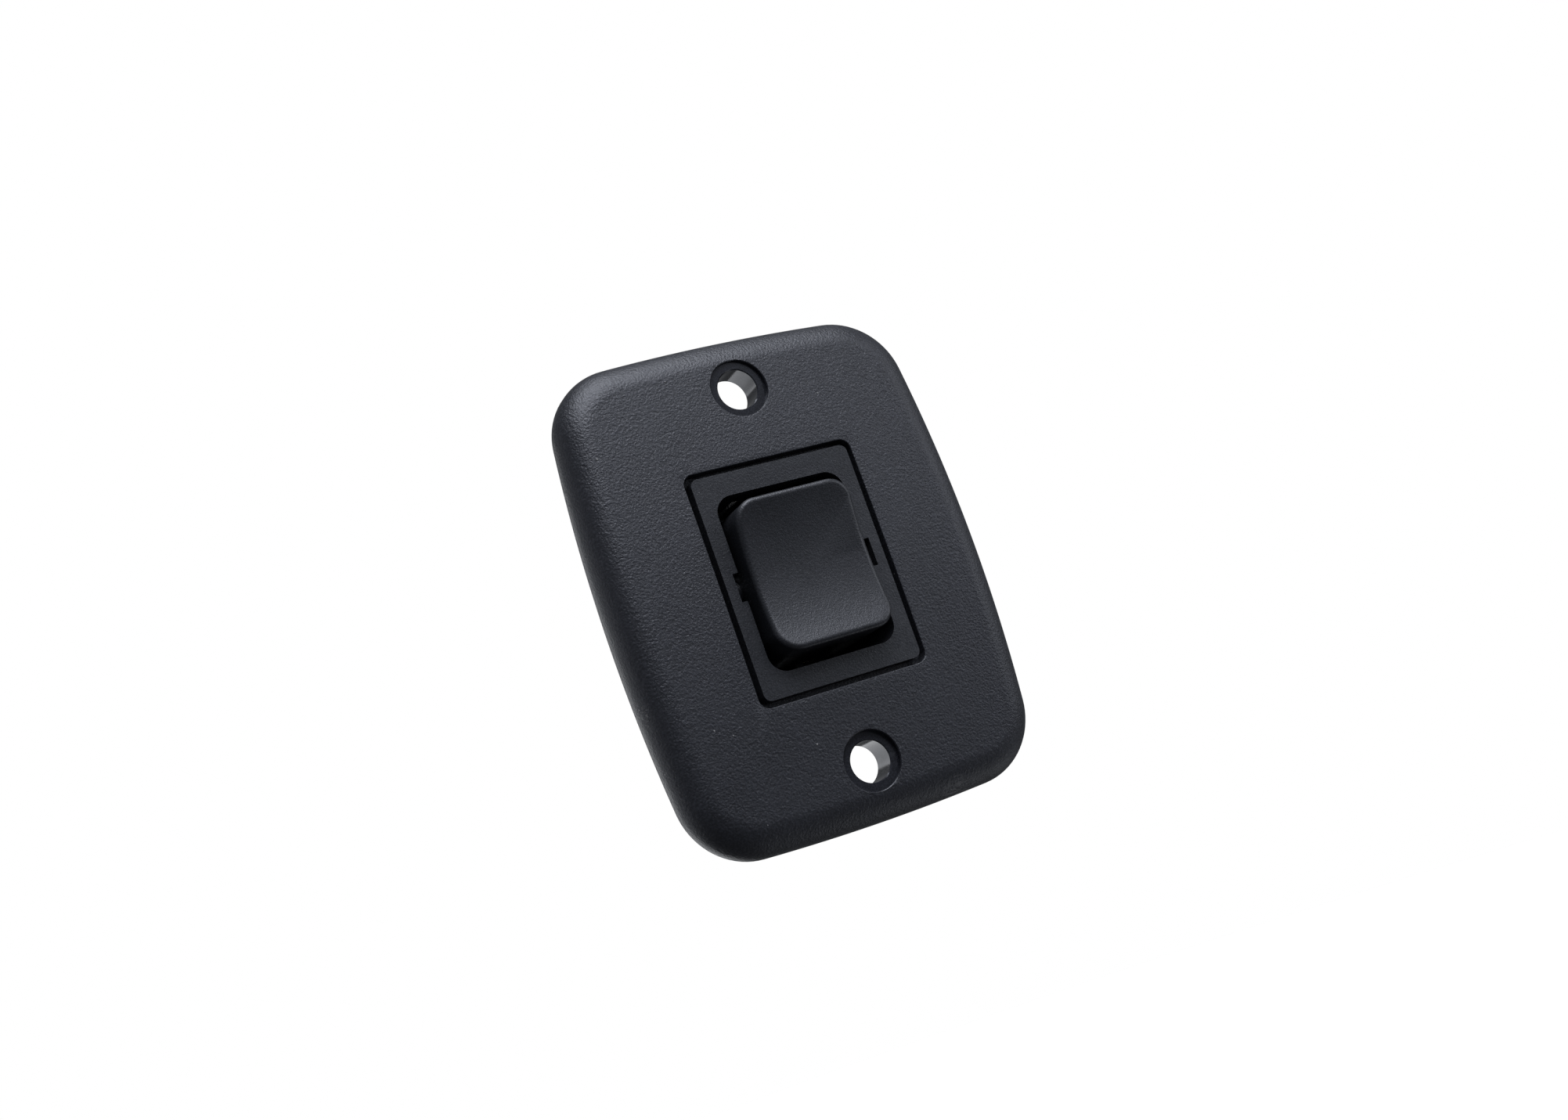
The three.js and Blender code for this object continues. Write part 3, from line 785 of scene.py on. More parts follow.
def saddle_tree() -> GeometryGraph:
    """The rule of a saddle: each point above a level rides up an arc as it nears the ends."""
    g = GeometryGraph("saddle", ("Radius", "Level", "Top"))
    _, y, z = g.split()
    radius = g.given("Radius")
    sagitta = radius - (radius * radius - z * z).root()
    share = ((y - g.given("Level")) / (g.given("Top") - g.given("Level"))).clamped()
    g.end(g.moved(-(sagitta * share)))
    return g


def coil_tree() -> GeometryGraph:
    """A coil spring, wound about an axis along Y."""
    g = GeometryGraph("coil", ("Radius", "Wire", "Length", "Turns", "Start", "Across"))
    inputs = {"Resolution": 28, "Rotations": g.given("Turns"), "Start Radius": g.given("Radius")}
    inputs.update({"End Radius": g.given("Radius"), "Height": g.given("Length")})
    spiral = g.node("GeometryNodeCurveSpiral", None, inputs).outputs[0]
    inputs = {"Resolution": 14, "Radius": g.given("Wire")}
    ring = g.node("GeometryNodeCurvePrimitiveCircle", None, inputs).outputs[0]
    inputs = {"Curve": spiral, "Profile Curve": ring, "Fill Caps": True}
    wire = g.node("GeometryNodeCurveToMesh", None, inputs).outputs[0]
    inputs = {"X": g.given("Across"), "Y": g.given("Start")}
    start = g.node("ShaderNodeCombineXYZ", None, inputs).outputs[0]
    inputs = {"Geometry": wire, "Translation": start, "Rotation": (-math.pi / 2, 0.0, 0.0)}
    g.end(g.node("GeometryNodeTransform", None, inputs).outputs[0])
    return g


def rows_tree() -> GeometryGraph:
    """Copies of a piece in rows and columns about the middle, those below it turned over."""
    g = GeometryGraph("rows", ("Column Step", "Row Step"), ("Columns", "Rows"))
    counts = [g.given(key) for key in ("Columns", "Rows")]
    steps = [g.given(key) for key in ("Column Step", "Row Step")]
    inputs = {"Size X": (counts[0] - 1.0) * steps[0], "Size Y": (counts[1] - 1.0) * steps[1]}
    inputs.update({"Vertices X": counts[0], "Vertices Y": counts[1]})
    grid = g.node("GeometryNodeMeshGrid", None, inputs).outputs[0]
    inputs = {"Geometry": grid, "Rotation": (math.pi / 2, 0.0, 0.0)}
    points = g.node("GeometryNodeTransform", None, inputs).outputs[0]
    _, _, z = g.split()
    below = (-z).math("GREATER_THAN", 1e-5)
    turned = g.node("ShaderNodeCombineXYZ", None, {"Y": below * math.pi}).outputs[0]
    inputs = {"Points": points, "Instance": g.entry.outputs["Geometry"], "Rotation": turned}
    g.end(g.node("GeometryNodeInstanceOnPoints", None, inputs).outputs[0])
    return g


# ------------------------------------------------------------------ the frame's own sizes
class Span:
    """Where a CAD node lies, in millimetres."""

    def __init__(self, *nodes: str) -> None:
        """Takes in the boxes of one or more nodes."""
        boxes = [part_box(node) for node in nodes]
        self.low = Vector([min(b[0][k] for b in boxes) for k in range(3)]) / MM
        self.high = Vector([max(b[1][k] for b in boxes) for k in range(3)]) / MM
        self.size = self.high - self.low
        self.middle = (self.high + self.low) / 2


PLATE = Span("face_plate")
HOUSING = Span("switch_housing")
ROCKER = Span("rocker")
BASE = Span("terminal_base")
SPADE = Span("throw_terminal_right_upper")
COMMON = Span("common_terminal_right")
RIVET = Span("fixed_contact_right_upper")
BLADE = Span("contact_blade_right")
PLUNGER = Span("plunger_right")
COIL = Span("plunger_spring_right")
CLEARANCE = 0.3
STRIP = 0.8
THROW_Z = SPADE.high.z - STRIP / 2
SLEEVE_SIZE = (BASE.size.x, BASE.size.z)


@dataclass
class Opening:
    """The hole in the switch's flange, which the sleeve, the rocker and the base are made to."""

    width: float = 17.9
    height: float = 23.1
    radius: float = 2.4


OPENING = Opening()


# ------------------------------------------------------------------ face plate
@dataclass
class FacePlate:
    """The crowned, barrel-shaped moulding with its window, screw seats, and ribs behind."""

    bench: Bench
    side_bow: float = 2.3
    end_bow: float = 1.1
    corner_radius: float = 9.4
    end_crown: float = 1.1
    side_crown: float = 0.25
    rim_wall: float = 0.8
    edge_round: float = 4.1
    shell: float = 1.8
    web: float = 1.6
    rib: float = 1.2
    rib_setback: float = 0.6
    screw_spacing: float = 50.0
    hole_diameter: float = 5.35
    head_diameter: float = 7.6
    head_depth: float = 0.65
    boss_wall: float = 1.9
    window_gap: float = 0.75
    window_radius: float = 1.375
    mouth: float = 0.12
    lip: float = 0.12
    past: float = 6.0
    width: float = PLATE.size.x
    height: float = PLATE.size.z
    thickness: float = -PLATE.low.y

    def outline(self, inset: float, steps: tuple[int, int, int] = (22, 18, 16)) -> list[Point2]:
        """The barrel outline of four long arcs and four corner arcs, drawn in by inset.

        Args:
            inset: how far it is drawn in.
            steps: chords on half a side, a corner and half an end.

        Returns:
            The closed outline.
        """
        a, b = self.width / 2, self.height / 2
        side_radius = (b * b + self.side_bow**2) / (2 * self.side_bow)
        end_radius = (a * a + self.end_bow**2) / (2 * self.end_bow)
        side, end = Vector((a - side_radius, 0)), Vector((0, b - end_radius))
        apart = end - side
        r1, r2 = side_radius - self.corner_radius, end_radius - self.corner_radius
        along = (apart.length_squared + r1 * r1 - r2 * r2) / (2 * apart.length)
        unit = apart.normalized()
        across = math.sqrt(r1 * r1 - along * along)
        both = [side + unit * along + Vector((unit.y, -unit.x)) * hand * across for hand in (1, -1)]
        corner = max(both, key=lambda point: point.x + point.y)
        turns = [math.atan2(*reversed(corner - centre)) for centre in (side, end)]
        quarter = Shapes.arc(side, side_radius - inset, 0, turns[0], steps[0])[:-1]
        quarter += Shapes.arc(corner, self.corner_radius - inset, turns[0], turns[1], steps[1])[:-1]
        quarter += Shapes.arc(end, end_radius - inset, turns[1], math.pi / 2, steps[2])
        inner = quarter[1:-1]
        left = [(-x, z) for x, z in reversed(inner)]
        return quarter + left + [(-x, -z) for x, z in quarter] + [(x, -z) for x, z in reversed(inner)]

    def face(self, x: float, z: float) -> float:
        """How far the crowned face stands off the wall."""
        fall = self.side_crown * (x / (self.width / 2)) ** 2 + self.end_crown * (z / (self.height / 2)) ** 2
        return self.thickness - fall

    def form(self, name: str, wall: float, edge_steps: int, rings: int) -> bpy.types.Object:
        """The outer form, or the form drawn in by a wall, crowned by Geometry Nodes.

        Args:
            name: the object's name.
            wall: how far it is drawn in.
            edge_steps: steps round the edge.
            rings: rings across the face.

        Returns:
            The form's object.
        """
        top = self.thickness - wall
        rounding = self.edge_round - wall / 2
        loops = [[(x, 0.0, z) for x, z in self.outline(wall)]]
        for k in range(edge_steps + 1):
            angle = math.pi / 2 * k / edge_steps
            level = self.rim_wall + (top - self.rim_wall) * math.sin(angle)
            drawn = wall + rounding * (1 - math.cos(angle))
            loops.append([(x, -level, z) for x, z in self.outline(drawn)])
        flat = loops[-1]
        for k in range(1, rings):
            share = 1 - k / rings
            loops.append([(x * share, y, z * share) for x, y, z in flat])
        piece = self.bench.solid(name, Shapes.skin(loops))
        sizes = {"Half Width": self.width / 2, "Half Height": self.height / 2, "Thickness": top}
        sizes.update({"Side Crown": self.side_crown, "End Crown": self.end_crown, "Rim Wall": self.rim_wall})
        return crown_tree().apply(self.bench, piece, Finish.BLACK_PLATE, sizes)

    def mouth_cutter(self, outline: Callable[[float], list[Point2]], floor: float) -> bmesh.types.BMesh:
        """A cutter from a floor up through the face, which flares to round the mouth.

        Args:
            outline: gives the hole's outline, grown by a distance.
            floor: the level of its flat bottom.

        Returns:
            The cutter.
        """
        steps, over = 4, 0.25 * self.mouth
        rings = [[(x, floor, z) for x, z in outline(0)]]
        for k in range(steps + 1):
            angle = math.radians(80) * k / steps
            grown, deep = self.mouth * (1 - math.cos(angle)), self.mouth * (1 - math.sin(angle))
            rings.append([(x, -(self.face(x, z) - deep), z) for x, z in outline(grown)])
        grown = self.mouth * 2
        rings.append([(x, -(self.face(x, z) + over), z) for x, z in outline(grown)])
        rings.append([(x, -2 * self.thickness, z) for x, z in outline(grown)])
        return Shapes.skin(rings)

    def window(self, grown: float = 0.0) -> list[Point2]:
        """The window's outline, grown by a distance."""
        gap = self.window_gap + grown
        width, height = HOUSING_FLANGE.width + 2 * gap, HOUSING_FLANGE.height + 2 * gap
        return Shapes.rounded(width, height, self.window_radius + grown, 10, 16)

    def surround(self) -> list[Point2]:
        """The outline of the wall round the window."""
        gap = self.window_gap + self.shell
        size = HOUSING_FLANGE.width + 2 * gap, HOUSING_FLANGE.height + 2 * gap
        return Shapes.rounded(*size, HOUSING_FLANGE.corner_radius + self.shell, 8)

    def backing(self) -> bpy.types.Object:
        """What stands inside the shell: the window's wall and web, the screw bosses and the ribs."""
        deep = -self.thickness
        web_back = HOUSING_FLANGE.back + self.web
        piece = self.bench.solid("backing", Shapes.prism(self.surround(), deep, -self.rib_setback))
        past = Shapes.prism(self.window(), web_back, 1.0)
        self.bench.combine(piece, "DIFFERENCE", past)
        extras = []
        boss_radius = self.head_diameter / 2 + self.boss_wall
        for side in (1, -1):
            boss = Shapes.circle(boss_radius, 0, side * self.screw_spacing / 2, 72)
            extras.append(Shapes.prism(boss, deep, 0.0))
            level = side * (HOUSING_FLANGE.height / 2 + self.window_gap) / 2
            for end in (1, -1):
                inner = HOUSING_FLANGE.width / 2 + self.window_gap + self.shell / 2
                x = (end * inner, end * (self.width - self.shell) / 2)
                z = (level - self.rib / 2, level + self.rib / 2)
                extras.append(Shapes.block(x, (deep, -self.rib_setback), z))
        self.bench.combine(piece, "UNION", *extras)
        return self.bench.merge(piece, "INTERSECT", self.form("middle", self.shell / 2, 8, 6))

    def make(self) -> None:
        """Builds the plate and mounts it."""
        piece = self.form("barrel_face_plate", 0.0, 16, 14)
        self.bench.merge(piece, "DIFFERENCE", self.form("hollow", self.shell, 10, 6))
        self.bench.merge(piece, "UNION", self.backing())
        cutters = [self.mouth_cutter(self.window, HOUSING_FLANGE.back)]
        size = [s + 2 * CLEARANCE for s in SLEEVE_SIZE]
        sleeve_hole = Shapes.rounded(*size, HOUSING_FLANGE.sleeve_radius + CLEARANCE)
        cutters.append(Shapes.prism(sleeve_hole, -self.past, self.past))
        for side in (1, -1):
            level = side * self.screw_spacing / 2
            seat = -(self.face(0, level) - self.head_depth)

            def seat_outline(grown: float, level: float = level) -> list[Point2]:
                """The screw seat's outline, grown by a distance."""
                return Shapes.circle(self.head_diameter / 2 + grown, 0, level, 96)

            cutters.append(self.mouth_cutter(seat_outline, seat))
            r, lip = self.hole_diameter / 2, self.lip
            profile = [(r + 2 * lip, seat - 0.3), (r + lip, seat), (r, seat + lip), (r, -lip), (r + lip, 0.0)]
            cutters.append(Shapes.turned([*profile, (r + 2 * lip, 1.0)], 0, level, 96))
        self.bench.combine(piece, "DIFFERENCE", *cutters)
        self.bench.dress(piece, Finish.BLACK_PLATE, "mounting", "face_plate", smooth_degrees=38)


# ------------------------------------------------------------------ switch housing
@dataclass
class Flange:
    """The flat frame round the rocker, and the sleeve behind it."""

    width: float = 22.2
    height: float = 29.0
    thickness: float = 2.0
    corner_radius: float = 1.0
    sleeve_radius: float = 1.6
    front: float = HOUSING.low.y

    @property
    def back(self) -> float:
        """The level of its back face."""
        return self.front + self.thickness


HOUSING_FLANGE = Flange()
PIVOT_DEPTH = 4.0
PIVOT_Y = HOUSING_FLANGE.front + PIVOT_DEPTH


@dataclass
class SwitchHousing:
    """The flange with its notched opening, and the sleeve with its sprung latches."""

    bench: Bench
    notch_depth: float = 0.75
    notch_lead: float = 1.5
    ramp_depth: float = 0.4
    socket_radius: float = 1.85
    latch_width: float = 8.0
    latch_thickness: float = 0.9
    latch_length: float = 4.4
    latch_lead: float = 0.5
    panel: float = 1.6
    slit: float = 0.8
    tongue: float = 9.0
    snap_width: float = 4.0
    snap_height: float = 1.0
    edge: float = 0.16

    def make(self) -> None:
        """Builds the housing and mounts it."""
        flange, bench = HOUSING_FLANGE, self.bench
        front, back, end = flange.front, flange.back, HOUSING.high.y
        outline = Shapes.rounded(flange.width, flange.height, flange.corner_radius, 10)
        piece = bench.solid("switch_flange_and_sleeve", Shapes.prism(outline, front, back))
        wall_z = SLEEVE_SIZE[1] / 2
        latch_front = back + self.panel + CLEARANCE
        latch_back, root_z = latch_front + self.latch_length, wall_z - self.latch_thickness
        half = self.latch_width / 2
        reach = HOUSING.high.z if HOUSING.high.z > flange.height / 2 else wall_z + 1.0
        extras = [Shapes.prism(Shapes.rounded(*SLEEVE_SIZE, flange.sleeve_radius, 10), back - 0.5, end)]
        for side in (1, -1):
            wedge = [(latch_front, root_z), (latch_front, reach), (latch_front + self.latch_lead, reach)]
            wedge += [(latch_back, wall_z), (latch_back, root_z)]
            extras.append(Shapes.across([(y, side * z) for y, z in wedge], -half, half))
        bench.combine(piece, "UNION", *extras)
        width, height = OPENING.width, OPENING.height
        cutters = [Shapes.prism(Shapes.rounded(width, height, OPENING.radius, 12), front - 1, end + 1)]
        r = self.socket_radius
        for depth, back_y in ((self.notch_depth, front + self.notch_lead), (self.ramp_depth, PIVOT_Y)):
            x = width / 2 + depth
            cutters.append(Shapes.block((-x, x), (front - 1, back_y), (-r, r)))
        cutters.append(Shapes.bar_x(r, PIVOT_Y, 0, -SLEEVE_SIZE[0], SLEEVE_SIZE[0]))
        snap_y = end - self.snap_height - CLEARANCE
        room = (self.snap_height / 2 + CLEARANCE, self.snap_width / 2 + CLEARANCE)
        y, z = (snap_y - room[0], snap_y + room[0]), (-room[1], room[1])
        cutters.append(Shapes.block((-SLEEVE_SIZE[0], SLEEVE_SIZE[0]), y, z))
        deep, high = latch_front + self.tongue, (OPENING.height / 2 - 1, reach + 1)
        for side in (1, -1):
            ends = tuple(side * level for level in high)
            for hand in (1, -1):
                x = (hand * half, hand * (half + self.slit))
                cutters.append(Shapes.block(x, (latch_front, deep + 0.01), ends))
            x = (-half - self.slit, half + self.slit)
            cutters.append(Shapes.block(x, (deep, deep + self.slit), ends))
        bench.combine(piece, "DIFFERENCE", *cutters)
        bench.bevel(piece, self.edge, 3)
        bench.dress(piece, Finish.BLACK_SWITCH, "mounting", "switch_housing")


# ------------------------------------------------------------------ rocker
@dataclass
class RockerKey:
    """The saddle-topped key with its pivot pins and plunger tubes."""

    bench: Bench
    width: float = 16.4
    length: float = ROCKER.size.z
    corner_radius: float = 3.0
    saddle_radius: float = 32.0
    edge_round: float = 0.75
    wall: float = 1.3
    pin_radius: float = 1.55
    pole_x: float = COMMON.middle.x
    tube_wall: float = 0.8
    tube_clearance: float = CLEARANCE
    tube_depth: float = 7.4
    tube_lead: float = 0.15
    tube_chamfer: float = 0.2
    inner_round: float = 0.3
    skirt_bottom: float = 3.9

    def blank(self, name: str, wall: float, rounding: float, bottom: float) -> bpy.types.Object:
        """The key's form, or its form drawn in by a wall, with the saddle given by Geometry Nodes.

        Args:
            name: the object's name.
            wall: how far it is drawn in.
            rounding: of the edge round the top.
            bottom: the level of its underside.

        Returns:
            The form's object.
        """
        middle = ROCKER.low.y + self.sagitta(self.length / 2)
        top = middle + wall
        level = top + rounding

        def ring(inset: float, y: float, share: float = 1.0) -> Ring:
            """The key's outline, drawn in and then scaled, at a level."""
            drawn = wall + inset
            size = (self.width - 2 * drawn, self.length - 2 * drawn)
            outline = Shapes.rounded(*size, max(self.corner_radius - drawn, 0.4), 12, 20)
            return [(x * share, y, z * share) for x, z in outline]

        steps, across = 8, 16
        rings = [ring(0, bottom + (level - bottom) * k / steps) for k in range(steps + 1)]
        for k in range(1, steps + 1):
            angle = math.pi / 2 * k / steps
            rings.append(ring(rounding * (1 - math.cos(angle)), level - rounding * math.sin(angle)))
        rings += [ring(rounding, top, 1 - k / across) for k in range(1, across)]
        piece = self.bench.solid(name, Shapes.skin(rings))
        sizes = {"Radius": self.saddle_radius, "Level": bottom, "Top": level}
        return saddle_tree().apply(self.bench, piece, Finish.BLACK_SWITCH, sizes)

    def sagitta(self, z: float) -> float:
        """How far the saddle rises at a distance from the middle."""
        return self.saddle_radius - math.sqrt(self.saddle_radius**2 - z * z)

    def make(self) -> None:
        """Builds the key and mounts it."""
        bench = self.bench
        bottom = self.skirt_bottom
        tube_end = ROCKER.high.y
        piece = self.blank("rocker_key", 0.0, self.edge_round, bottom)
        bench.merge(piece, "DIFFERENCE", self.blank("hollow", self.wall, self.inner_round, bottom + 0.5))
        bore = PLUNGER.size.x / 2 + self.tube_clearance
        floor, lead = tube_end - self.tube_depth, tube_end - self.tube_lead
        root = ROCKER.low.y + self.sagitta(self.length / 2) + self.wall / 2
        extras, bores = [], []
        for side in (1, -1):
            inner, outer = side * (self.width / 2 - self.wall / 2), side * ROCKER.high.x
            extras.append(Shapes.bar_x(self.pin_radius, PIVOT_Y, 0, inner, outer))
            extras.append(self.tube(side, bore + self.tube_wall, root, tube_end))
            mouth = bore + self.tube_lead
            profile = [(bore, floor), (bore, lead), (mouth, tube_end), (mouth, tube_end + 1)]
            bores.append(Shapes.turned(profile, side * self.pole_x, 0, 48))
        bench.combine(piece, "UNION", *extras)
        bench.combine(piece, "DIFFERENCE", *bores)
        bench.dress(piece, Finish.BLACK_SWITCH, "rocker", "rocker", smooth_degrees=40)

    def tube(self, side: int, radius: float, root: float, end: float) -> bmesh.types.BMesh:
        """A plunger tube with a chamfered end."""
        cut = self.tube_chamfer
        profile = [(radius, root), (radius, end - cut), (radius - cut, end)]
        return Shapes.turned(profile, side * self.pole_x, 0, 48)


# ------------------------------------------------------------------ switch works
@dataclass
class SprungPlungers:
    """Two nylon plungers, and the springs that push them out of the rocker."""

    bench: Bench
    radius: float = PLUNGER.size.x / 2
    edge: float = 0.15
    wire: float = 0.35
    turns: float = 4.0
    stroke: float = 0.8
    dome: float = 0.985

    def make(self) -> None:
        """Builds the plungers and springs and mounts them."""
        back, tip = PLUNGER.low.y, PLUNGER.high.y
        for name, side in (("left", -1), ("right", 1)):
            profile = [(self.radius - self.edge, back), (self.radius, back + self.edge)]
            middle = (0.0, tip - self.radius)
            profile += Shapes.arc(middle, self.radius, 0.0, math.pi / 2 * self.dome, 10)
            made = Shapes.turned(profile, side * COMMON.middle.x, 0, 48)
            piece = self.bench.solid(f"nylon_plunger_{name}", made)
            self.bench.dress(piece, Finish.WHITE_NYLON, f"plunger_{name}", f"plunger_{name}")
            self.spring(name, side * COMMON.middle.x)

    def spring(self, name: str, across: float) -> None:
        """Winds one spring and mounts it on the rocker.

        Args:
            name: the side that it is on.
            across: its place along X, in millimetres.
        """
        piece = self.bench.solid(f"plunger_spring_{name}_wire", bmesh.new())
        length = COIL.size.y - self.wire
        sizes = {"Radius": (COIL.size.x - self.wire) / 2, "Wire": self.wire / 2, "Length": length}
        sizes.update({"Start": COIL.low.y + self.wire / 2, "Across": across})
        finish = Finish.SPRING_STEEL
        coil_tree().apply(self.bench, piece, finish, sizes, {"Turns": self.turns})
        self.bench.dress(piece, finish, "rocker", f"plunger_spring_{name}", smooth_degrees=50)
        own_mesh(piece)


@dataclass
class SeeSawBlades:
    """Two bent blades that rock on the common terminals, with a silver rivet on each arm."""

    bench: Bench
    bend: float = 8.0
    thickness: float = 0.6
    half_length: float = 7.5
    contact_z: float = RIVET.middle.z
    shank: float = 0.5
    seat_half_width: float = 1.6
    chamfer: float = 0.8
    lap: float = 0.2
    notch: float = 0.7
    edge: float = 0.07

    def bent(self, piece: bpy.types.Object, front: float) -> bpy.types.Object:
        """Bends an upright arm forwards about the ridge that the blade rocks on."""
        ridge = Matrix.Translation((0, (front + self.thickness) * MM, 0))
        turn = Matrix.Rotation(math.radians(self.bend), 4, "X")
        piece.data.transform(ridge @ turn @ ridge.inverted())
        return piece

    def make(self) -> None:
        """Builds the blades and their rivets and mounts them."""
        ridge_y = BLADE.high.y
        front, back = ridge_y - self.thickness, ridge_y
        half = BLADE.size.x / 2
        for name, side in (("left", -1), ("right", 1)):
            x = side * COMMON.middle.x
            arms = []
            for level in (1, -1):
                tip, cut = self.half_length, self.chamfer
                outline = [(x - half, -self.lap), (x + half, -self.lap), (x + half, tip - cut)]
                outline += [(x + half - cut, tip), (x - half + cut, tip), (x - half, tip - cut)]
                arm = self.bench.solid(f"arm_{level}", Shapes.prism(outline, front, back))
                hole = Shapes.circle(self.shank + CLEARANCE, x, self.contact_z, 32)
                self.bench.combine(arm, "DIFFERENCE", Shapes.prism(hole, front - 1, back + 1))
                self.bent(arm, front)
                self.bench.combine(arm, "INTERSECT", Shapes.block((x - 5, x + 5), (0, 20), (0, 20)))
                if level < 0:
                    self.bench.turn_over(arm)
                arms.append(arm)
            blade, lower = arms
            blade.name = f"see_saw_blade_{name}"
            self.bench.merge(blade, "UNION", lower)
            for hand in (1, -1):
                notch = (x + hand * self.seat_half_width, x + hand * (half + 1))
                block = Shapes.block(notch, (front - 2, back + 1), (-self.notch, self.notch))
                self.bench.combine(blade, "DIFFERENCE", block)
            self.bench.bevel(blade, self.edge)
            nodes = [f"moving_contact_{name}_{level}" for level in ("upper", "lower")]
            self.bench.dress(blade, Finish.CONTACT_BRASS, f"blade_{name}", f"contact_blade_{name}")
            self.rivets(name, x, front, back, nodes)

    def rivets(self, name: str, x: float, front: float, back: float, nodes: Sequence[str]) -> None:
        """Makes a blade's two rivets.

        Args:
            name: left or right.
            x: the blade's middle.
            front: the blade's front face, with its arm upright.
            back: its back face.
            nodes: the CAD nodes of the rivets.
        """
        face = back + CLEARANCE + RIVET_SIZES.head_height
        made = RIVET_SIZES.mesh(face, -1, front - CLEARANCE, x, self.contact_z)
        piece = self.bent(self.bench.solid(f"blade_rivets_{name}", made), front)
        other = piece.copy()
        other.data = piece.data.copy()
        self.bench.turn_over(other)
        joined = bmesh.new()
        for part in (piece, other):
            joined.from_mesh(part.data)
        joined.to_mesh(piece.data)
        joined.free()
        bpy.data.objects.remove(other)
        self.bench.dress(piece, Finish.CONTACT_SILVER, f"blade_{name}", *nodes)


@dataclass(frozen=True)
class RivetSizes:
    """A contact rivet's sizes."""

    head_radius: float = 1.2
    head_height: float = 0.5
    shank_radius: float = 0.5
    tail_radius: float = 0.95
    tail_height: float = 0.3
    edge: float = 0.14
    flat: float = 0.35
    dome: float = 0.04

    def mesh(self, face: float, towards: int, clench: float, x: float, z: float) -> bmesh.types.BMesh:
        """A rivet on an axis along Y.

        Args:
            face: the level of its contact face.
            towards: 1 when its tail lies further along Y than its face, or -1.
            clench: where the tail starts.
            x: its place across.
            z: its place up.

        Returns:
            The rivet.
        """
        seat, e = face + towards * self.head_height, self.edge
        end = clench + towards * self.tail_height
        head, shank, tail = self.head_radius, self.shank_radius, self.tail_radius
        profile = [(self.flat * head, face), (head - 2 * e, face + towards * self.dome)]
        profile += [(head - 0.3 * e, face + towards * e), (head, face + towards * 1.6 * e)]
        profile += [(head, seat), (shank, seat), (shank, clench)]
        profile += [(tail, clench), (tail, end - towards * e), (tail - e, end)]
        return Shapes.turned(profile, x, z, 40)


RIVET_SIZES = RivetSizes()


@dataclass
class Terminals:
    """Six spade terminals: two commons that the blades rock on, and four throws with fixed rivets."""

    bench: Bench
    width: float = SPADE.size.x
    thickness: float = STRIP
    chamfer: float = 0.9
    hole_radius: float = 0.8
    hole_back: float = 3.4
    ear: float = 1.3
    cradle: float = 1.9
    edge: float = 0.07
    tip: float = SPADE.high.y
    pole_x: float = COMMON.middle.x
    throw_z: float = THROW_Z

    def spade(self, z: float, front: float, seat: Optional[float] = None) -> bmesh.types.BMesh:
        """A spade with a chamfered tip, on the middle of X.

        Args:
            z: its level.
            front: where it starts.
            seat: half the width of the blade's seat, if it has one.

        Returns:
            The spade without its hole.
        """
        half, cut = self.width / 2, self.chamfer
        outline = [(half, front), (half, self.tip - cut), (half - cut, self.tip)]
        outline += [(-x, y) for x, y in reversed(outline)]
        if seat is not None:
            ears = [(-seat, front), (-seat, front + self.ear), (seat, front + self.ear), (seat, front)]
            outline += ears
        return Shapes.upright(outline, z - self.thickness / 2, z + self.thickness / 2)

    def finished(self, piece: bpy.types.Object, z: float) -> bpy.types.Object:
        """Drills the locating hole and eases the edges."""
        hole_y = self.tip - self.hole_back
        hole = Shapes.upright(Shapes.circle(self.hole_radius, 0, hole_y, 40), z - 2, z + 2)
        self.bench.combine(piece, "DIFFERENCE", hole)
        return self.bench.bevel(piece, self.edge)

    def placed(
        self, piece: bpy.types.Object, finish: Finish, rows: int, *nodes: str, step: float = 0.0
    ) -> None:
        """Repeats a piece over the poles and rows, and mounts the result.

        Args:
            piece: the piece, about the middle of X and of its row.
            finish: its finish.
            rows: how many rows.
            nodes: the CAD nodes that the copies stand for.
            step: between the rows.
        """
        sizes = {"Column Step": 2 * self.pole_x, "Row Step": step}
        rows_tree().apply(self.bench, piece, finish, sizes, {"Columns": 2, "Rows": rows})
        self.bench.dress(piece, finish, "mounting", *nodes)

    def make(self) -> None:
        """Builds the terminals and the fixed rivets and mounts them."""
        sides, levels = ("left", "right"), ("upper", "lower")
        spade = self.spade(0.0, COMMON.low.y, seat=self.cradle)
        common = self.finished(self.bench.solid("common_terminals", spade), 0.0)
        self.placed(common, Finish.TERMINAL_BRASS, 1, *[f"common_terminal_{s}" for s in sides])
        front = SPADE.low.y
        throw = self.bench.solid("throw_terminals", self.spade(0.0, front))
        head = (SPADE.low.z - self.throw_z, self.thickness / 2)
        half = self.width / 2
        plate = Shapes.block((-half, half), (front, front + self.thickness), head)
        self.bench.combine(throw, "UNION", plate)
        rivet_z = RIVET.middle.z - self.throw_z
        hole = Shapes.circle(RIVET_SIZES.shank_radius + CLEARANCE, 0, rivet_z, 32)
        self.bench.combine(throw, "DIFFERENCE", Shapes.prism(hole, front - 1, front + 2))
        self.finished(throw, 0.0)
        nodes = [f"throw_terminal_{s}_{level}" for s in sides for level in levels]
        self.placed(throw, Finish.TERMINAL_BRASS, 2, *nodes, step=2 * self.throw_z)
        clench = front + self.thickness + CLEARANCE
        rivet = self.bench.solid("fixed_rivets", RIVET_SIZES.mesh(RIVET.low.y, 1, clench, 0, 0))
        nodes = [f"fixed_contact_{s}_{level}" for s in sides for level in levels]
        self.placed(rivet, Finish.CONTACT_SILVER, 2, *nodes, step=2 * RIVET.middle.z)


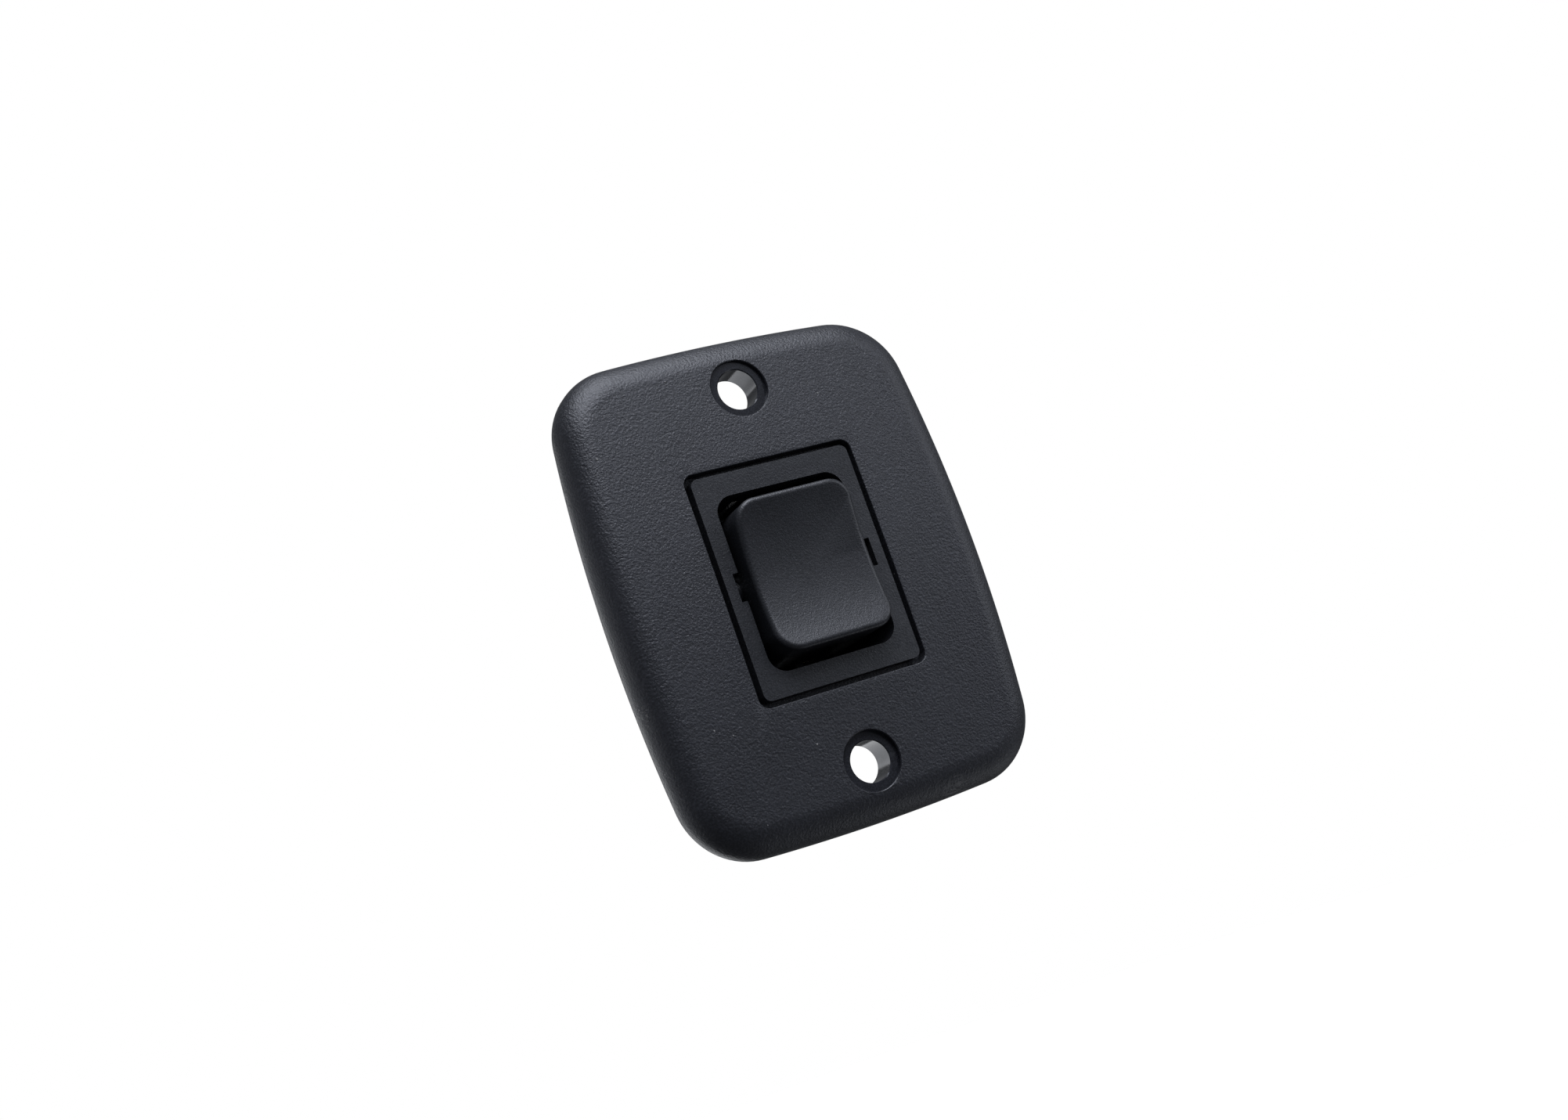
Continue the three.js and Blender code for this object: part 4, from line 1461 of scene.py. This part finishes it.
@dataclass
class TerminalBase:
    """The floor that closes the sleeve, with its spigot, divider, snap lugs and terminal slots."""

    bench: Bench
    spigot_wall: float = 1.0
    spigot_depth: float = 2.6
    floor: float = 2.4
    slot_play: float = 0.04
    divider: float = 1.0
    snap_width: float = 4.0
    snap_height: float = 1.0
    snap_reach: float = 0.7
    edge: float = 0.14

    def make(self) -> None:
        """Builds the base and mounts it."""
        bench = self.bench
        back = BASE.high.y
        front = back - self.floor
        spigot_front = front - self.spigot_depth
        outline = Shapes.rounded(*SLEEVE_SIZE, HOUSING_FLANGE.sleeve_radius, 10)
        piece = bench.solid("terminal_base_floor", Shapes.prism(outline, front, back))

        def spigot(inset: float) -> list[Point2]:
            """The spigot's outline, drawn in from the opening."""
            size = (OPENING.width - 2 * inset, OPENING.height - 2 * inset)
            return Shapes.rounded(*size, OPENING.radius - inset, 8)

        bench.combine(piece, "UNION", Shapes.prism(spigot(CLEARANCE), spigot_front, front + 0.5))
        inside = CLEARANCE + self.spigot_wall
        bench.combine(piece, "DIFFERENCE", Shapes.prism(spigot(inside), spigot_front - 1, front))
        reach = OPENING.height / 2 - CLEARANCE - self.spigot_wall / 2
        half = self.divider / 2
        extras = [Shapes.block((-half, half), (BASE.low.y, front + 0.5), (-reach, reach))]
        snap_y = front - CLEARANCE - self.snap_height - CLEARANCE
        y = (snap_y - self.snap_height / 2, snap_y + self.snap_height / 2)
        z = (-self.snap_width / 2, self.snap_width / 2)
        for side in (1, -1):
            inner = OPENING.width / 2 - CLEARANCE - self.spigot_wall / 2
            outer = OPENING.width / 2 + self.snap_reach
            extras.append(Shapes.block((side * inner, side * outer), y, z))
        bench.combine(piece, "UNION", *extras)
        slots = []
        wide, high = SPADE.size.x / 2 + self.slot_play, STRIP / 2 + self.slot_play
        for x in (-COMMON.middle.x, COMMON.middle.x):
            for level in (-THROW_Z, 0.0, THROW_Z):
                z = (level - high, level + high)
                slots.append(Shapes.block((x - wide, x + wide), (front - 0.5, back + 1), z))
        bench.combine(piece, "DIFFERENCE", *slots)
        bench.bevel(piece, self.edge)
        bench.dress(piece, Finish.BLACK_BASE, "mounting", "terminal_base")


# ------------------------------------------------------------------ studio
@dataclass(frozen=True)
class SoftBox:
    """A soft light aimed at the plate's middle, placed by angles from straight in front of the plate."""

    name: str
    azimuth: float
    elevation: float
    width: float
    height: float
    radiance: float
    distance: float = 0.8
    colour: Colour = (0.97, 0.985, 1.0)

    def hang(self) -> None:
        """Makes the light and hangs it."""
        data = bpy.data.lights.new(self.name, "AREA")
        data.shape = "RECTANGLE"
        data.size, data.size_y, data.color = self.width, self.height, self.colour
        data.energy = math.pi * self.width * self.height * self.radiance
        across, up = math.radians(self.azimuth), math.radians(self.elevation)
        level = math.cos(up) * self.distance
        place = Vector((math.sin(across) * level, -math.cos(across) * level, math.sin(up) * self.distance))
        lamp = bpy.data.objects.new(self.name, data)
        lamp.matrix_world = Matrix.Translation(place) @ (-place).to_track_quat("-Z", "Y").to_matrix().to_4x4()
        lamp.visible_camera = False
        bpy.context.scene.collection.objects.link(lamp)


@dataclass
class Studio:
    """The camera, the pale floor and the soft lights."""

    lens: float = 41.41
    shift: Point2 = (0.0094, 0.0134)
    camera_place: tuple[float, float, float] = (-0.09679, -0.20464, -0.03571)
    camera_right: tuple[float, float, float] = (0.8791, -0.3445, -0.3293)
    camera_back: tuple[float, float, float] = (-0.4115, -0.8973, -0.1599)
    floor_level: float = -0.12
    floor_radius: float = 0.6
    floor_shade: float = 0.9
    floor_glow: float = 1.0
    light_below: float = 0.12
    light_above: float = 0.2
    boxes: tuple[SoftBox, ...] = (
        SoftBox("key", 4.0, 60.0, 0.62, 0.75, 7.4),
        SoftBox("front", 18.0, 30.0, 0.45, 0.4, 0.25),
        SoftBox("right", 60.0, 12.0, 0.45, 0.5, 2.2),
        SoftBox("right_low", 90.0, -50.0, 0.45, 0.45, 1.0),
        SoftBox("left_behind", -120.0, -5.0, 0.45, 0.85, 0.9),
        SoftBox("behind", -170.0, -8.0, 0.6, 0.8, 1.5),
    )

    def camera(self) -> None:
        """Makes the camera."""
        data = bpy.data.cameras.new("camera")
        data.lens = self.lens
        data.sensor_width = 36.0
        data.shift_x, data.shift_y = self.shift
        data.clip_start, data.clip_end = 0.01, 20.0
        right, back = Vector(self.camera_right).normalized(), Vector(self.camera_back)
        up = back.cross(right).normalized()
        back = right.cross(up)
        turn = Matrix((right, up, back)).transposed().to_4x4()
        eye = bpy.data.objects.new("camera", data)
        eye.matrix_world = Matrix.Translation(self.camera_place) @ turn
        bpy.context.scene.collection.objects.link(eye)
        bpy.context.scene.camera = eye

    def floor(self) -> None:
        """Makes the plain pale floor."""
        made = bmesh.new()
        rim = Shapes.circle(self.floor_radius, sides=96)
        made.faces.new([made.verts.new((x, y, self.floor_level)) for x, y in rim])
        piece = Bench.solid("floor", made)
        g = ShaderGraph("pale_floor")
        g.feed(g.shader, "Base Color", (*[self.floor_shade] * 3, 1.0))
        g.feed(g.shader, "Roughness", 0.9)
        g.feed(g.shader, "Emission Color", (1.0, 1.0, 1.0, 1.0))
        g.feed(g.shader, "Emission Strength", self.floor_glow)
        piece.data.materials.append(g.material)
        piece.visible_glossy = piece.visible_diffuse = piece.visible_shadow = False

    def world(self) -> None:
        """Makes the even light from all round, stronger from above, behind a white backdrop."""
        world = bpy.data.worlds.new("studio")
        world.use_nodes = True
        g = Graph(world.node_tree)
        g.tree.nodes.clear()
        direction = g.node("ShaderNodeTexCoord").outputs["Generated"]
        up = g.field(g.node("ShaderNodeSeparateXYZ", None, {0: direction}), 2)
        strength = self.light_below + (self.light_above - self.light_below) * up.smooth_step(-0.6, 0.8)
        inputs = {"Color": (0.94, 0.97, 1.0, 1.0), "Strength": strength}
        glow = g.node("ShaderNodeBackground", None, inputs).outputs[0]
        inputs = {"Color": (1.0, 1.0, 1.0, 1.0), "Strength": 1.0}
        white = g.node("ShaderNodeBackground", None, inputs).outputs[0]
        seen = g.node("ShaderNodeLightPath").outputs["Is Camera Ray"]
        both = g.node("ShaderNodeMixShader", None, {0: seen, 1: glow, 2: white}).outputs[0]
        g.node("ShaderNodeOutputWorld", None, {"Surface": both})
        bpy.context.scene.world = world

    def make(self) -> None:
        """Builds the whole studio."""
        bpy.context.scene.view_settings.view_transform = "Standard"
        self.camera()
        self.floor()
        self.world()
        for box in self.boxes:
            box.hang()


def main() -> None:
    """Builds the sub-assemblies in order, then the studio."""
    logging.basicConfig(level=logging.INFO, format="%(message)s")
    bench = Bench(Paintbox())
    for build in (FacePlate, SwitchHousing, RockerKey, TerminalBase, Terminals, SeeSawBlades, SprungPlungers):
        build(bench).make()
    Studio().make()


if __name__ == "__main__":
    main()
